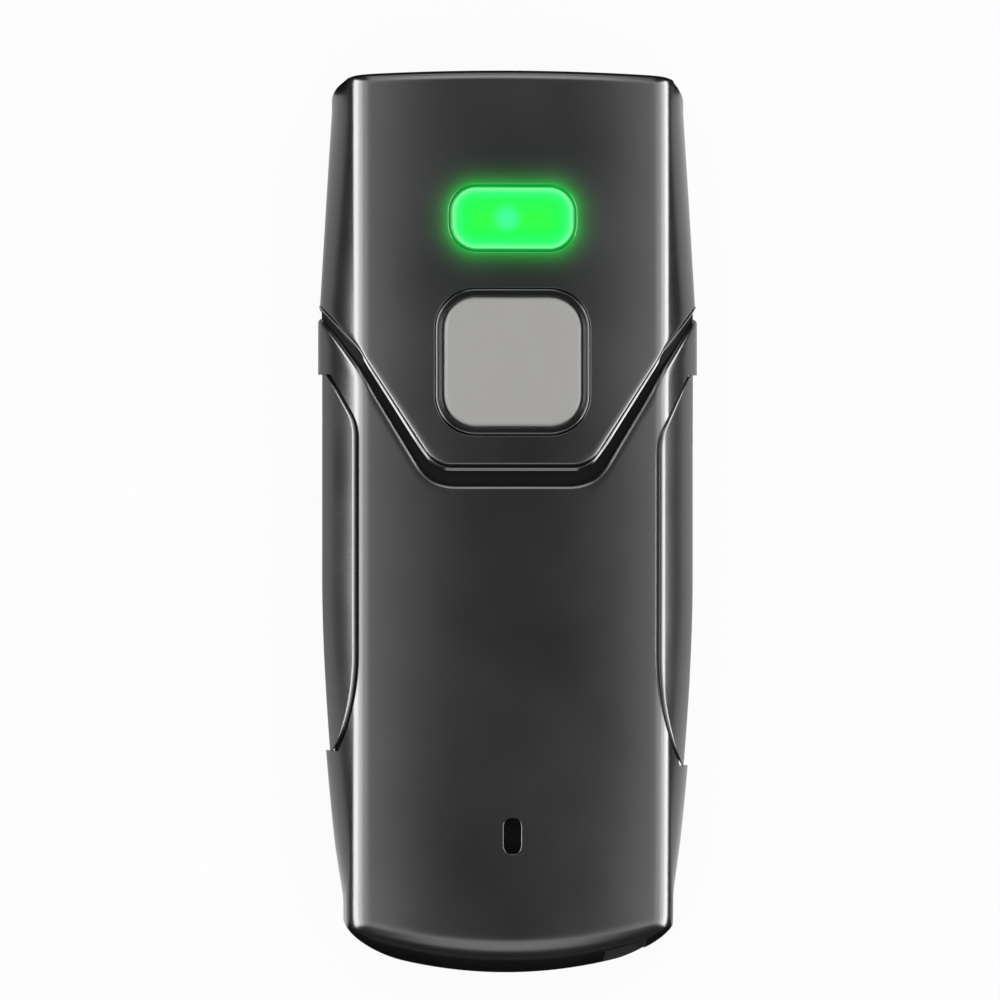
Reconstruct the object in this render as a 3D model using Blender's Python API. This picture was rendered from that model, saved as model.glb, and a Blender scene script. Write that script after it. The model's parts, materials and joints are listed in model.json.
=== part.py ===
"""Pocket barcode scanner, modelled as it comes apart on a bench.

The case is a bottom shell with two covers on it. A bent V of gloss trim lies in the seam between the
nose cover and the body cover, and a soft grip is bonded into each side of the body. A thumb button in the
nose cover presses a tact switch on the main board. The scan engine looks out through a raked window in the
nose.

Frame: origin on the table under the middle of the case, +X to the right, +Y to the nose, +Z up.
"""

import math
from dataclasses import dataclass, replace

import bmesh
import bpy
from mathutils import Matrix, Vector

MM = 0.001

# Case
LENGTH = 98.0 * MM
WIDTH = 41.4 * MM
HEIGHT = 25.0 * MM
COVER_DEPTH = 8.5 * MM
WALL = 2.0 * MM
FLOOR = 2.0 * MM
GAP = 0.3 * MM
BOND = 0.12 * MM
OVERCUT = 1.0 * MM

# Shape of the two covers
LAND = 1.0 * MM
CROWN = 0.9 * MM
ARCH = 1.2 * MM
ARCH_PEAK_FROM_NOSE = 39.0 * MM
EDGE_RADIUS = 2.6 * MM
EDGE_INSET = 5.5 * MM
WALL_BULGE = math.radians(12)
HEAD_REAR_TUCK = 0.2 * MM
HEAD_FRONT_TUCK = 1.5 * MM
HEAD_REAR_FROM_NOSE = 25.5 * MM
HEAD_FRONT_FROM_NOSE = 3.8 * MM
TAIL_TUCK = 2.75 * MM
TAPER_FROM_TAIL = 42.5 * MM
TAIL_CORNER_FROM_TAIL = 6.4 * MM
TAPER_POWER = 1.7
NOSE_CORNER = 3.2 * MM
NOSE_EDGE_RADIUS = 1.5 * MM
NOSE_BOW = 0.6 * MM
TAIL_CORNER_RUN = 7.0 * MM
TAIL_CORNER_DEPTH = 3.4 * MM
TAIL_EDGE_RADIUS = 1.8 * MM
TAIL_EDGE_RUN = 3.7 * MM
TAIL_BOW = 3.3 * MM
TAIL_BULGE = math.radians(24)
BOW_REACH = 14.0 * MM

# Shape of the bottom shell
SHELL_TUCK = 1.3 * MM
SHELL_END_TUCK = 0.6 * MM
SHELL_EDGE_RADIUS = 5.0 * MM
SHELL_EDGE_INSET = 8.2 * MM
SHELL_LAND = 0.8 * MM
SHELL_NOSE_RUN = 6.6 * MM
SHELL_NOSE_RADIUS = 3.5 * MM
SHELL_TAIL_RUN = 7.0 * MM
LIP_ROOT = 0.25 * MM
LIP_THICK = 0.8 * MM
LIP_RISE = 1.2 * MM
LIP_DEEP = 2.0 * MM

# V-shaped seam between the covers, seen from above
SEAM_FROM_NOSE = 42.8 * MM
SEAM_CORNER_HALF = 8.44 * MM
SEAM_ANGLE = math.radians(57)
SEAM_NOSE_SIDE_ANGLE = math.radians(48)
SEAM_BODY_SIDE_ANGLE = math.radians(53)
SEAM_FLAT_WIDTH = 2.45 * MM
SEAM_SIDE_WIDTH = 1.55 * MM
SEAM_NOSE_CORNER_RADIUS = 3.2 * MM
SEAM_BODY_CORNER_RADIUS = 5.0 * MM
SEAM_BEND_INSET = 4.2 * MM
TRIM_SET = 0.7 * MM
TRIM_THICK = 0.8 * MM

# Side grips
GRIP_SET = 0.45 * MM
GRIP_THICK = 0.7 * MM
GRIP_GROOVE = 0.3 * MM
GRIP_INNER_INSET = 4.1 * MM
GRIP_FRONT_FROM_NOSE = 31.6 * MM
GRIP_FRONT_ANGLE = math.radians(62)
GRIP_CORNER_RADIUS = 6.0 * MM
GRIP_CURVE_FROM_TAIL = 35.0 * MM
GRIP_CURVE_RADIUS = 29.0 * MM

# Status lens, thumb button and sound slot
LENS_FROM_NOSE = 16.1 * MM
LENS_LENGTH = 13.6 * MM
LENS_WIDTH = 7.1 * MM
LENS_CORNER = 2.9 * MM
LENS_FLANGE = 0.8 * MM
BUTTON_FROM_NOSE = 31.6 * MM
BUTTON_LENGTH = 13.9 * MM
BUTTON_WIDTH = 14.8 * MM
BUTTON_CORNER = 3.4 * MM
BUTTON_EDGE = 0.5 * MM
BUTTON_PROUD = 0.3 * MM
BUTTON_GAP = 0.25 * MM
BUTTON_FLANGE = 0.8 * MM
BEZEL_RING = 0.4 * MM
BEZEL_FALL = 0.7 * MM
SLOT_FROM_TAIL = 14.85 * MM
SLOT_LENGTH = 3.9 * MM
SLOT_WIDTH = 1.9 * MM

# Main board and what is soldered to it
BOARD_BELOW_SEAM = 1.5 * MM
BOARD_THICK = 1.2 * MM
BOARD_EDGE_ROOM = 0.9 * MM
BOARD_REAR_HALF = 6.6 * MM
BOARD_FRONT_HALF = 9.6 * MM
POST_RADIUS = 1.9 * MM
BOARD_SCREW_RADIUS = 0.8 * MM
BOARD_SCREW_HEAD = 1.6 * MM
SWITCH_SIDE = 6.0 * MM
SWITCH_HEIGHT = 3.4 * MM
SWITCH_BASE = 0.8 * MM
PLUNGER_RADIUS = 1.75 * MM
DOME_HEIGHT = 0.9 * MM
DOME_SHEET = 0.2 * MM
DOME_LINE = ((1.0, 0.0), (0.65, 0.7), (0.2, 1.0))
LED_SIDE = 2.8 * MM
LED_HEIGHT = 0.9 * MM
GUIDE_MARGIN = 1.4 * MM
BUZZER_RADIUS = 4.5 * MM
MESH_THICK = 0.4 * MM
MESH_MARGIN = 1.2 * MM
RADIO_SIZE = (11.0 * MM, 9.0 * MM, 2.0 * MM)
PROCESSOR_SIZE = (7.0 * MM, 7.0 * MM, 0.9 * MM)

# Charging socket in the tail
USB_WIDTH = 8.9 * MM
USB_HEIGHT = 3.2 * MM
USB_DEPTH = 7.4 * MM
USB_SHEET = 0.3 * MM
USB_SUNK = 0.7 * MM
TONGUE_WIDTH = 6.6 * MM
TONGUE_THICK = 0.7 * MM
TONGUE_DEPTH = 5.2 * MM

# Case screws and their bosses
BOSS_RADIUS = 2.6 * MM
SHELL_BOSS_RADIUS = 3.2 * MM
FRONT_BOSS_FROM_NOSE = 26.5 * MM
FRONT_BOSS_INSET = 7.1 * MM
REAR_BOSS_FROM_TAIL = 11.5 * MM
REAR_BOSS_INSET = 8.6 * MM
SCREW_RADIUS = 1.1 * MM
SCREW_HEAD_RADIUS = 2.0 * MM
SCREW_HEAD_HEIGHT = 1.4 * MM
SCREW_SUNK = 1.2 * MM
SCREW_BITE = 4.0 * MM
DRIVE_RADIUS = 0.8 * MM
DRIVE_DEPTH = 0.8 * MM

# Scan engine and window
ENGINE_WIDTH = 20.0 * MM
ENGINE_DEPTH = 12.5 * MM
ENGINE_HEADROOM = 2.0 * MM
ENGINE_FROM_WINDOW = 3.2 * MM
BRACKET_SHEET = 0.8 * MM
BRACKET_SIDE_HEIGHT = 6.0 * MM
BRACKET_ROOM = 2.0 * MM
ENGINE_SCREW_RADIUS = 0.7 * MM
EYE_RADIUS = 3.0 * MM
LAMP_RADIUS = 2.4 * MM
AIMER_RADIUS = 1.3 * MM
EYE_PROUD = 0.8 * MM
EYE_DEEP = 2.0 * MM
WINDOW_WIDTH = 25.0 * MM
WINDOW_SILL_HEIGHT = 4.5 * MM
WINDOW_TOP_BELOW_SEAM = 3.0 * MM
WINDOW_CORNER = 2.2 * MM
WINDOW_THICK = 1.0 * MM
FRAME_BORDER = 1.5 * MM
FRAME_SUNK = 0.3 * MM
FRAME_THICK = 1.0 * MM
GASKET_THICK = 0.5 * MM
GASKET_BORDER = 1.0 * MM

# Battery, its leads and the engine ribbon
PAD_THICK = 0.8 * MM
BATTERY_HEIGHT = 6.2 * MM
BATTERY_ROOM = 0.8 * MM
BATTERY_CORNER = 1.5 * MM
LEAD_RADIUS = 0.55 * MM
LEAD_SPACING = 2.0 * MM
SOCKET_SIZE = (6.0 * MM, 3.6 * MM, 2.6 * MM)
RIBBON_WIDTH = 8.0 * MM
RIBBON_THICK = 0.25 * MM
RIBBON_SOCKET_SIZE = (9.5 * MM, 3.0 * MM, 1.6 * MM)

# Wrist strap pocket at the right corner of the tail
STRAP_CENTRE_INSET = 8.2 * MM
STRAP_POCKET_WIDTH = 4.6 * MM
STRAP_POCKET_HEIGHT = 2.6 * MM
STRAP_POCKET_DEPTH = 4.4 * MM
STRAP_BLOCK_WALL = 1.3 * MM
STRAP_PIN_RADIUS = 0.75 * MM
STRAP_PIN_FROM_TAIL = 4.4 * MM

# Facets of the turned and rounded shapes
WALL_STEPS = 2
EDGE_STEPS = 3
CROWN_STEPS = 3
CORNER_STEPS = 4
ROUND_SIDES = 20
SMALL_SIDES = 12
STATION_STEP = 9.5 * MM

# Places worked out from the sizes above
NOSE_Y = LENGTH / 2
TAIL_Y = -LENGTH / 2
HALF = WIDTH / 2
SEAM_HEIGHT = HEIGHT - COVER_DEPTH
COVER_BASE = SEAM_HEIGHT + GAP / 2
SHELL_BASE = SEAM_HEIGHT - GAP / 2
BOARD_HEIGHT = SEAM_HEIGHT - BOARD_BELOW_SEAM
BOARD_TOP = BOARD_HEIGHT + BOARD_THICK
WINDOW_HEIGHT = SEAM_HEIGHT - WINDOW_TOP_BELOW_SEAM - WINDOW_SILL_HEIGHT
WINDOW_CENTRE_HEIGHT = WINDOW_SILL_HEIGHT + WINDOW_HEIGHT / 2
ENGINE_HEIGHT = BOARD_HEIGHT - ENGINE_HEADROOM - FLOOR - BRACKET_SHEET - 2 * BOND
SEAM_Y = NOSE_Y - SEAM_FROM_NOSE
LENS_Y = NOSE_Y - LENS_FROM_NOSE
BUTTON_Y = NOSE_Y - BUTTON_FROM_NOSE
SLOT_Y = TAIL_Y + SLOT_FROM_TAIL
FRONT_BOSS = (HALF - FRONT_BOSS_INSET, NOSE_Y - FRONT_BOSS_FROM_NOSE)
REAR_BOSS = (HALF - REAR_BOSS_INSET, TAIL_Y + REAR_BOSS_FROM_TAIL)
BOARD_WIDE_FRONT = FRONT_BOSS[1] - SHELL_BOSS_RADIUS - GAP
BOARD_WIDE_REAR = REAR_BOSS[1] + SHELL_BOSS_RADIUS + GAP
BOARD_FRONT = LENS_Y + LENS_WIDTH / 2
BOARD_REAR = TAIL_Y + SHELL_END_TUCK + WALL + GAP + BOARD_EDGE_ROOM
POST_FRONT_Y = BOARD_WIDE_FRONT - POST_RADIUS
POST_REAR_Y = BOARD_WIDE_REAR + POST_RADIUS

FINISHES = {
    "satin_black_plastic": ((0.030, 0.030, 0.032), 0.38, 0.0),
    "gloss_black_plastic": ((0.008, 0.008, 0.009), 0.10, 0.0),
    "grip_plastic": ((0.035, 0.035, 0.037), 0.36, 0.0),
    "grey_button_plastic": ((0.36, 0.355, 0.34), 0.50, 0.0),
    "green_lens_plastic": ((0.02, 0.75, 0.10), 0.20, 0.0),
    "clear_plastic": ((0.80, 0.85, 0.82), 0.10, 0.0),
    "window_plastic": ((0.03, 0.01, 0.012), 0.05, 0.0),
    "black_foam": ((0.02, 0.02, 0.02), 0.90, 0.0),
    "board_laminate": ((0.02, 0.16, 0.06), 0.45, 0.0),
    "chip_plastic": ((0.02, 0.02, 0.022), 0.55, 0.0),
    "pale_plastic": ((0.75, 0.73, 0.68), 0.50, 0.0),
    "bright_steel": ((0.62, 0.62, 0.64), 0.25, 1.0),
    "black_steel": ((0.05, 0.05, 0.055), 0.35, 1.0),
    "foil": ((0.70, 0.71, 0.73), 0.30, 1.0),
    "polyimide": ((0.55, 0.25, 0.04), 0.35, 0.0),
    "red_wire": ((0.55, 0.02, 0.02), 0.45, 0.0),
    "black_wire": ((0.02, 0.02, 0.02), 0.45, 0.0),
    "optic_glass": ((0.05, 0.04, 0.08), 0.05, 0.0),
}


def clear_scene():
    """Removes everything that the scene starts with."""
    for thing in list(bpy.data.objects):
        bpy.data.objects.remove(thing)


def material(name):
    """A Principled material from the table of finishes, made once."""
    made = bpy.data.materials.get(name)
    if made:
        return made
    colour, roughness, metallic = FINISHES[name]
    made = bpy.data.materials.new(name)
    made.use_nodes = True
    shader = made.node_tree.nodes["Principled BSDF"]
    shader.inputs["Base Color"].default_value = (*colour, 1.0)
    shader.inputs["Roughness"].default_value = roughness
    shader.inputs["Metallic"].default_value = metallic
    return made


def object_of(name, shape, finish=None):
    """A scene object from a bmesh, with its faces turned outwards. Without a finish it is a cutting tool."""
    bmesh.ops.recalc_face_normals(shape, faces=shape.faces)
    mesh = bpy.data.meshes.new(name)
    shape.to_mesh(mesh)
    shape.free()
    made = bpy.data.objects.new(name, mesh)
    bpy.context.scene.collection.objects.link(made)
    if finish:
        finish_piece(made, finish)
    return made


def finish_piece(piece, finish):
    """Gives a piece its material, and smooth shading between its sharp edges."""
    piece.data.materials.clear()
    piece.data.materials.append(material(finish))
    piece.data.shade_smooth()
    piece.data.set_sharp_from_angle(angle=math.radians(32))


def boolean(target, tool, operation):
    """Applies one Boolean to the target and removes the tool."""
    modifier = target.modifiers.new(operation.lower(), "BOOLEAN")
    modifier.operation = operation
    modifier.solver = "EXACT"
    modifier.object = tool
    graph = bpy.context.evaluated_depsgraph_get()
    result = bpy.data.meshes.new_from_object(target.evaluated_get(graph))
    target.modifiers.clear()
    spent = target.data
    target.data = result
    bpy.data.meshes.remove(spent)
    bpy.data.objects.remove(tool)
    return target


def cut(target, *tools):
    """The target with every tool taken away."""
    for tool in tools:
        boolean(target, tool, "DIFFERENCE")
    return target


def unite(target, *tools):
    """The target with every tool joined to it."""
    for tool in tools:
        boolean(target, tool, "UNION")
    return target


def common(target, tool):
    """What the target and the tool share."""
    return boolean(target, tool, "INTERSECT")


def loft(name, loops, finish=None):
    """A closed solid through loops of equally many points, with a face over each end."""
    shape = bmesh.new()
    rows = [[shape.verts.new(point) for point in loop] for loop in loops]
    count = len(rows[0])
    for lower, upper in zip(rows, rows[1:]):
        for i in range(count):
            j = (i + 1) % count
            shape.faces.new((lower[i], lower[j], upper[j], upper[i]))
    shape.faces.new(rows[0])
    shape.faces.new(rows[-1])
    return object_of(name, shape, finish)


def prism(name, outline, low, high, finish=None):
    """An outline of (x, y) points carried straight up from low to high."""
    return loft(name, [[(x, y, z) for x, y in outline] for z in (low, high)], finish)


def block(name, low, high, finish=None):
    """A box between two corners."""
    corners = [(low[0], low[1]), (high[0], low[1]), (high[0], high[1]), (low[0], high[1])]
    return prism(name, corners, low[2], high[2], finish)


def chip(name, size, x, y, finish, base=BOARD_TOP + BOND):
    """A box-shaped part of (x, y, z) size that stands on a height, centred on a place."""
    low = (x - size[0] / 2, y - size[1] / 2, base)
    high = (x + size[0] / 2, y + size[1] / 2, base + size[2])
    return block(name, low, high, finish)


def ring_of(radius, x=0.0, y=0.0, sides=ROUND_SIDES):
    """A circle as (x, y) points."""
    turns = [2 * math.pi * i / sides for i in range(sides)]
    return [(x + radius * math.cos(t), y + radius * math.sin(t)) for t in turns]


def rod(name, x, y, radius, low, high, finish=None):
    """An upright round bar."""
    return prism(name, ring_of(radius, x, y), low, high, finish)


def small_rod(name, x, y, radius, low, high, finish=None):
    """An upright round bar of a screw's size, with fewer sides."""
    return prism(name, ring_of(radius, x, y, SMALL_SIDES), low, high, finish)


def rounded(half_x, half_y, corner, x=0.0, y=0.0, steps=CORNER_STEPS):
    """A rectangle with round corners as (x, y) points."""
    points = []
    for quarter, (side_x, side_y) in enumerate(((1, 1), (-1, 1), (-1, -1), (1, -1))):
        for i in range(steps + 1):
            turn = (quarter + i / steps) * math.pi / 2
            points.append((
                x + side_x * (half_x - corner) + corner * math.cos(turn),
                y + side_y * (half_y - corner) + corner * math.sin(turn),
            ))
    return points


def grown(half_x, half_y, corner, by, y=0.0):
    """A rounded rectangle with the same corner centres, larger all round."""
    return rounded(half_x + by, half_y + by, corner + by, 0.0, y)


def place_on_axis(piece, point):
    """Moves a piece's origin to a point, and leaves its shape where it is."""
    piece.data.transform(Matrix.Translation(-Vector(point)))
    piece.location = point
    return piece


# Bowl-shaped halves of the case


@dataclass
class End:
    """One end of a bowl: its tip, which way it faces, and how it is rounded in plan and over its top edge."""

    tip: float
    facing: int
    corner_run: float
    corner_depth: float
    bow: float
    run: float
    radius: float
    bulge: float = 0.0


@dataclass
class Bowl:
    """A case half that rises from the parting plane. up is 1 for a cover and -1 for the bottom shell."""

    base: float
    up: int
    rise: float
    land: float
    crown: float
    arch: float
    edge_x: float
    radius: float
    bulge: float
    half: object
    nose: End
    tail: End


def wall_slope(run, rise, radius, land):
    """Slope of the wall that leaves the land and meets the edge round without a kink."""
    up = rise - radius - land
    return math.atan2(up, run) + math.asin(radius / math.hypot(up, run))


def edge_profile(run, rise, radius, land, start, bulge):
    """(inset, height) points up the wall from the land and round the edge, to where its slope is start."""
    slope = wall_slope(run, rise, radius, land)
    slope -= min(bulge, max(0.0, math.pi / 2 - slope))

    def on_round(angle):
        return Vector((run - radius * math.sin(angle), rise - radius + radius * math.cos(angle)))

    foot, joint = Vector((0.0, land)), on_round(slope)
    middle = joint - Vector((math.cos(slope), math.sin(slope))) * (joint - foot).length / 2
    points = []
    for i in range(WALL_STEPS):
        t = i / WALL_STEPS
        points.append(foot * (1 - t) ** 2 + middle * 2 * t * (1 - t) + joint * t * t)
    points += [on_round(slope + (start - slope) * i / EDGE_STEPS) for i in range(EDGE_STEPS + 1)]
    return points


def top_rise(bowl, y):
    """Height of the crown's middle line over the parting plane."""
    peak = NOSE_Y - ARCH_PEAK_FROM_NOSE
    return bowl.rise - bowl.arch * ((y - peak) / (peak - TAIL_Y)) ** 2


def section(bowl, y, half, share):
    """(x, height) points across a bowl from right to left. share squeezes the height towards the land."""
    edge_x = min(bowl.edge_x - (bowl.half(y) - half), half - bowl.radius)
    start = math.atan2(2 * bowl.crown, edge_x)
    rise = top_rise(bowl, y) - bowl.crown + bowl.radius * (1 - math.cos(start))
    profile = edge_profile(half - edge_x, rise, bowl.radius, bowl.land, start, bowl.bulge)
    right = [(half - inset, height) for inset, height in profile]
    last_x, last_height = right[-1]
    for i in range(1, CROWN_STEPS + 1):
        x = last_x * (1 - i / CROWN_STEPS)
        right.append((x, last_height + bowl.crown * (1 - (x / last_x) ** 2)))
    right = [(x, bowl.land + (height - bowl.land) * share) for x, height in right]
    return right + [(-x, height) for x, height in reversed(right[:-1])]


def end_stations(bowl, end):
    """(y, half width, share of height) from an end's tip to where its edge round meets the crown."""
    rise = top_rise(bowl, end.tip)
    found = []
    for inset, height in edge_profile(end.run, rise, end.radius, bowl.land, 0.0, end.bulge):
        if found and inset < OVERCUT * 1e-3:
            inset = found[-1][0] + OVERCUT * 1e-2
        found.append((inset, (height - bowl.land) / (rise - bowl.land)))
    insets = [inset for inset, _ in found]
    extra = [end.corner_depth * part for part in (0.45, 1.0)]
    found += [(inset, 1.0) for inset in extra if inset > insets[-1] + OVERCUT / 4]
    stations = []
    for inset, share in found:
        left = max(0.0, 1 - inset / end.corner_depth)
        y = end.tip - end.facing * inset
        stations.append((y, bowl.half(y) - end.corner_run * (1 - math.sqrt(1 - left * left)), share))
    return stations


def bowed(bowl, x, y):
    """y after the plan bow of both ends, which is full at a tip and fades out along the case."""
    for end in (bowl.nose, bowl.tail):
        fade = max(0.0, 1 - abs(end.tip - y) / BOW_REACH)
        y -= end.facing * end.bow * fade * (x / bowl.half(end.tip)) ** 2
    return y


def stations_of(bowl):
    """(y, half width, share of height) of every section along a bowl, from its tail to its nose."""
    tail, nose = end_stations(bowl, bowl.tail), end_stations(bowl, bowl.nose)
    first, last = tail[-1][0], nose[-1][0]
    count = math.ceil((last - first) / STATION_STEP)
    between = [first + (last - first) * i / count for i in range(1, count)]
    return tail + [(y, bowl.half(y), 1.0) for y in between] + nose[::-1]


def plan_outline(bowl):
    """A bowl's outline on the parting plane as (x, y) points."""
    right = [(half, bowed(bowl, half, y)) for y, half, _ in stations_of(bowl)]
    nose_y, nose_half, _ = stations_of(bowl)[-1]
    tail_y, tail_half, _ = stations_of(bowl)[0]
    across = [1 - i / CORNER_STEPS for i in range(1, 2 * CORNER_STEPS)]
    front = [(nose_half * t, bowed(bowl, nose_half * t, nose_y)) for t in across]
    rear = [(-tail_half * t, bowed(bowl, tail_half * t, tail_y)) for t in across]
    return right + front + [(-x, y) for x, y in reversed(right)] + rear


def bowl_solid(name, bowl):
    """The solid under a bowl's outer face, down to the parting plane."""
    shape = bmesh.new()
    rows = []
    for y, half, share in stations_of(bowl):
        line = section(bowl, y, half, share)
        tops = [shape.verts.new((x, bowed(bowl, x, y), bowl.base + bowl.up * h)) for x, h in line]
        feet = [shape.verts.new((x, bowed(bowl, x, y), bowl.base)) for x, _ in line]
        rows.append((tops, feet))
    for (tops, feet), (next_tops, next_feet) in zip(rows, rows[1:]):
        for i in range(len(tops) - 1):
            shape.faces.new((tops[i], tops[i + 1], next_tops[i + 1], next_tops[i]))
            shape.faces.new((feet[i], next_feet[i], next_feet[i + 1], feet[i + 1]))
        for i in (0, -1):
            shape.faces.new((tops[i], next_tops[i], next_feet[i], feet[i]))
    for tops, feet in (rows[0], rows[-1]):
        for i in range(len(tops) - 1):
            shape.faces.new((tops[i], feet[i], feet[i + 1], tops[i + 1]))
    bmesh.ops.triangulate(shape, faces=shape.faces)
    return object_of(name, shape)


def inset_bowl(bowl, depth):
    """The bowl a depth inside another, run on past the parting plane so that it cuts clear through it."""
    def shrink(end):
        return replace(end, tip=end.tip - end.facing * depth, radius=max(end.radius - depth, GAP))
    outer_half = bowl.half
    return replace(
        bowl,
        base=bowl.base - bowl.up * OVERCUT,
        rise=bowl.rise - depth + OVERCUT,
        land=bowl.land + OVERCUT,
        radius=bowl.radius - depth,
        half=lambda y: outer_half(y) - depth,
        nose=shrink(bowl.nose),
        tail=shrink(bowl.tail),
    )


def head_half(y):
    """Half width of the nose cover at the parting plane: a straight flare from the nose to the seam."""
    front, rear = NOSE_Y - HEAD_FRONT_FROM_NOSE, NOSE_Y - HEAD_REAR_FROM_NOSE
    part = min(1.0, max(0.0, (y - rear) / (front - rear)))
    return HALF - HEAD_REAR_TUCK + (HEAD_REAR_TUCK - HEAD_FRONT_TUCK) * part


def tapered(y, wide, tuck):
    """A half width that stays wide, then draws in by the tuck along a power curve to the tail's corners."""
    start, corner = TAIL_Y + TAPER_FROM_TAIL, TAIL_Y + TAIL_CORNER_FROM_TAIL
    part = min(1.0, max(0.0, (start - y) / (start - corner)))
    return wide - tuck * part ** TAPER_POWER


def body_half(y):
    """Half width of the body cover at the parting plane."""
    return tapered(y, HALF, TAIL_TUCK)


def shell_half(y):
    """Half width of the bottom shell, which hides under both covers."""
    wide = tapered(y, HALF - SHELL_TUCK, TAIL_TUCK + SHELL_END_TUCK - SHELL_TUCK)
    return min(wide, head_half(y) - SHELL_END_TUCK)


# The board fits the shell where it is narrowest along the board's wide part
BOARD_HALF = shell_half(BOARD_WIDE_REAR) - WALL - BOARD_EDGE_ROOM
POST_X = BOARD_HALF - POST_RADIUS


def cover_bowl(half):
    """The bowl of a cover with a given plan."""
    nose = End(NOSE_Y, 1, NOSE_CORNER, NOSE_CORNER, NOSE_BOW, NOSE_EDGE_RADIUS, NOSE_EDGE_RADIUS)
    tail = End(TAIL_Y, -1, TAIL_CORNER_RUN, TAIL_CORNER_DEPTH, TAIL_BOW, TAIL_EDGE_RUN, TAIL_EDGE_RADIUS,
               TAIL_BULGE)
    return Bowl(COVER_BASE, 1, HEIGHT - COVER_BASE, LAND, CROWN, ARCH, HALF - EDGE_INSET, EDGE_RADIUS,
                WALL_BULGE, half, nose, tail)


HEAD = cover_bowl(head_half)
BODY = cover_bowl(body_half)
SHELL = Bowl(
    SHELL_BASE, -1, SHELL_BASE, SHELL_LAND, 0.0, 0.0,
    HALF - SHELL_EDGE_INSET, SHELL_EDGE_RADIUS, 0.0, shell_half,
    End(NOSE_Y - SHELL_END_TUCK, 1, NOSE_CORNER, NOSE_CORNER, NOSE_BOW, SHELL_NOSE_RUN, SHELL_NOSE_RADIUS),
    End(TAIL_Y + SHELL_END_TUCK, -1, TAIL_CORNER_RUN, TAIL_CORNER_DEPTH, TAIL_BOW, SHELL_TAIL_RUN,
        SHELL_EDGE_RADIUS),
)


def hollow(name, bowl, floor=WALL):
    """The tool that empties a bowl, leaving its wall. floor is the thickness left at its crown."""
    inner = inset_bowl(bowl, WALL)
    return bowl_solid(name, replace(inner, rise=inner.rise + WALL - floor))


def cover_top(x, y):
    """Height of a cover's outer face over a place near the middle."""
    edge = HALF - EDGE_INSET
    return COVER_BASE + top_rise(HEAD, y) - CROWN * (x / edge) ** 2


def roof_over(half_x, y, half_y):
    """Lowest height of the cover's inner face over a rectangle."""
    return min(cover_top(half_x, y - half_y), cover_top(half_x, y + half_y)) - WALL


# Seam and grip outlines, seen from above


def rounded_corner(before, corner, after, radius, steps=CORNER_STEPS):
    """The points of an arc that rounds a corner between two straight lines."""
    before, corner, after = Vector(before), Vector(corner), Vector(after)
    back, ahead = (before - corner).normalized(), (after - corner).normalized()
    half_angle = back.angle(ahead) / 2
    centre = corner + (back + ahead).normalized() * radius / math.sin(half_angle)
    start = corner + back * radius / math.tan(half_angle) - centre
    turn = start.angle_signed(corner + ahead * radius / math.tan(half_angle) - centre)
    return [centre + Matrix.Rotation(-turn * i / steps, 2) @ start for i in range(steps + 1)]


def seam_line(flat_drop, side_drop, side_angle, radius):
    """The V from left to right, moved back from the nose cover's edge by its two drops."""
    flat_y = SEAM_Y - flat_drop
    rise = side_drop / math.cos(SEAM_ANGLE)
    corner_x = SEAM_CORNER_HALF + (rise - flat_drop) / math.tan(SEAM_ANGLE)
    bend_x = HALF - SEAM_BEND_INSET
    bend_y = flat_y + (bend_x - corner_x) * math.tan(SEAM_ANGLE)
    far_x = HALF + OVERCUT
    far_y = bend_y + (far_x - bend_x) * math.tan(side_angle)
    right = rounded_corner((0.0, flat_y), (corner_x, flat_y), (bend_x, bend_y), radius)
    right = [tuple(point) for point in right] + [(bend_x, bend_y), (far_x, far_y)]
    return [(-x, y) for x, y in reversed(right)] + right


def nose_seam(drop=0.0):
    """The nose cover's edge of the seam, moved back by a drop."""
    return seam_line(drop, drop, SEAM_NOSE_SIDE_ANGLE, SEAM_NOSE_CORNER_RADIUS + drop)


def body_seam(lift=0.0):
    """The body cover's edge of the seam, moved forward by a lift."""
    return seam_line(SEAM_FLAT_WIDTH - lift, SEAM_SIDE_WIDTH - lift, SEAM_BODY_SIDE_ANGLE,
                     SEAM_BODY_CORNER_RADIUS - lift)


def grip_outline(grow=0.0):
    """The right grip from above: a slanted front, a straight inner edge and a long curve out to the rear."""
    inner_x = HALF - GRIP_INNER_INSET - grow
    outer_x = HALF + OVERCUT
    slant = math.tan(GRIP_FRONT_ANGLE)
    front_y = NOSE_Y - GRIP_FRONT_FROM_NOSE + grow / math.cos(GRIP_FRONT_ANGLE)
    tip = (outer_x, front_y + (outer_x - HALF) * slant)
    corner = (inner_x, front_y - (HALF - inner_x) * slant)
    curve_y = TAIL_Y + GRIP_CURVE_FROM_TAIL
    front = [tuple(p) for p in rounded_corner(tip, corner, (inner_x, curve_y), GRIP_CORNER_RADIUS + grow)]
    radius = GRIP_CURVE_RADIUS + grow
    sweep = math.acos(1 - (outer_x - inner_x) / radius)
    turns = [sweep * i / (2 * CORNER_STEPS) for i in range(2 * CORNER_STEPS + 1)]
    curve = [(inner_x + radius * (1 - math.cos(t)), curve_y - radius * math.sin(t)) for t in turns]
    return [tip] + front + curve


def mirrored(outline, side):
    """An outline, or its mirror image about the middle plane."""
    return [(side * x, y) for x, y in outline]


# Covers, trim and grips


def lens_outline(grow=0.0):
    """The status lens from above, grown all round."""
    return grown(LENS_LENGTH / 2, LENS_WIDTH / 2, LENS_CORNER, grow, LENS_Y)


def button_outline(grow=0.0):
    """The thumb button from above, grown all round."""
    return grown(BUTTON_WIDTH / 2, BUTTON_LENGTH / 2, BUTTON_CORNER, grow, BUTTON_Y)


def cover_boss(bowl, x, y):
    """A solid boss under a cover, from the parting plane into the roof."""
    post = rod("boss", x, y, BOSS_RADIUS, COVER_BASE, HEIGHT)
    return common(post, bowl_solid("roof", inset_bowl(bowl, WALL / 2)))


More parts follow.
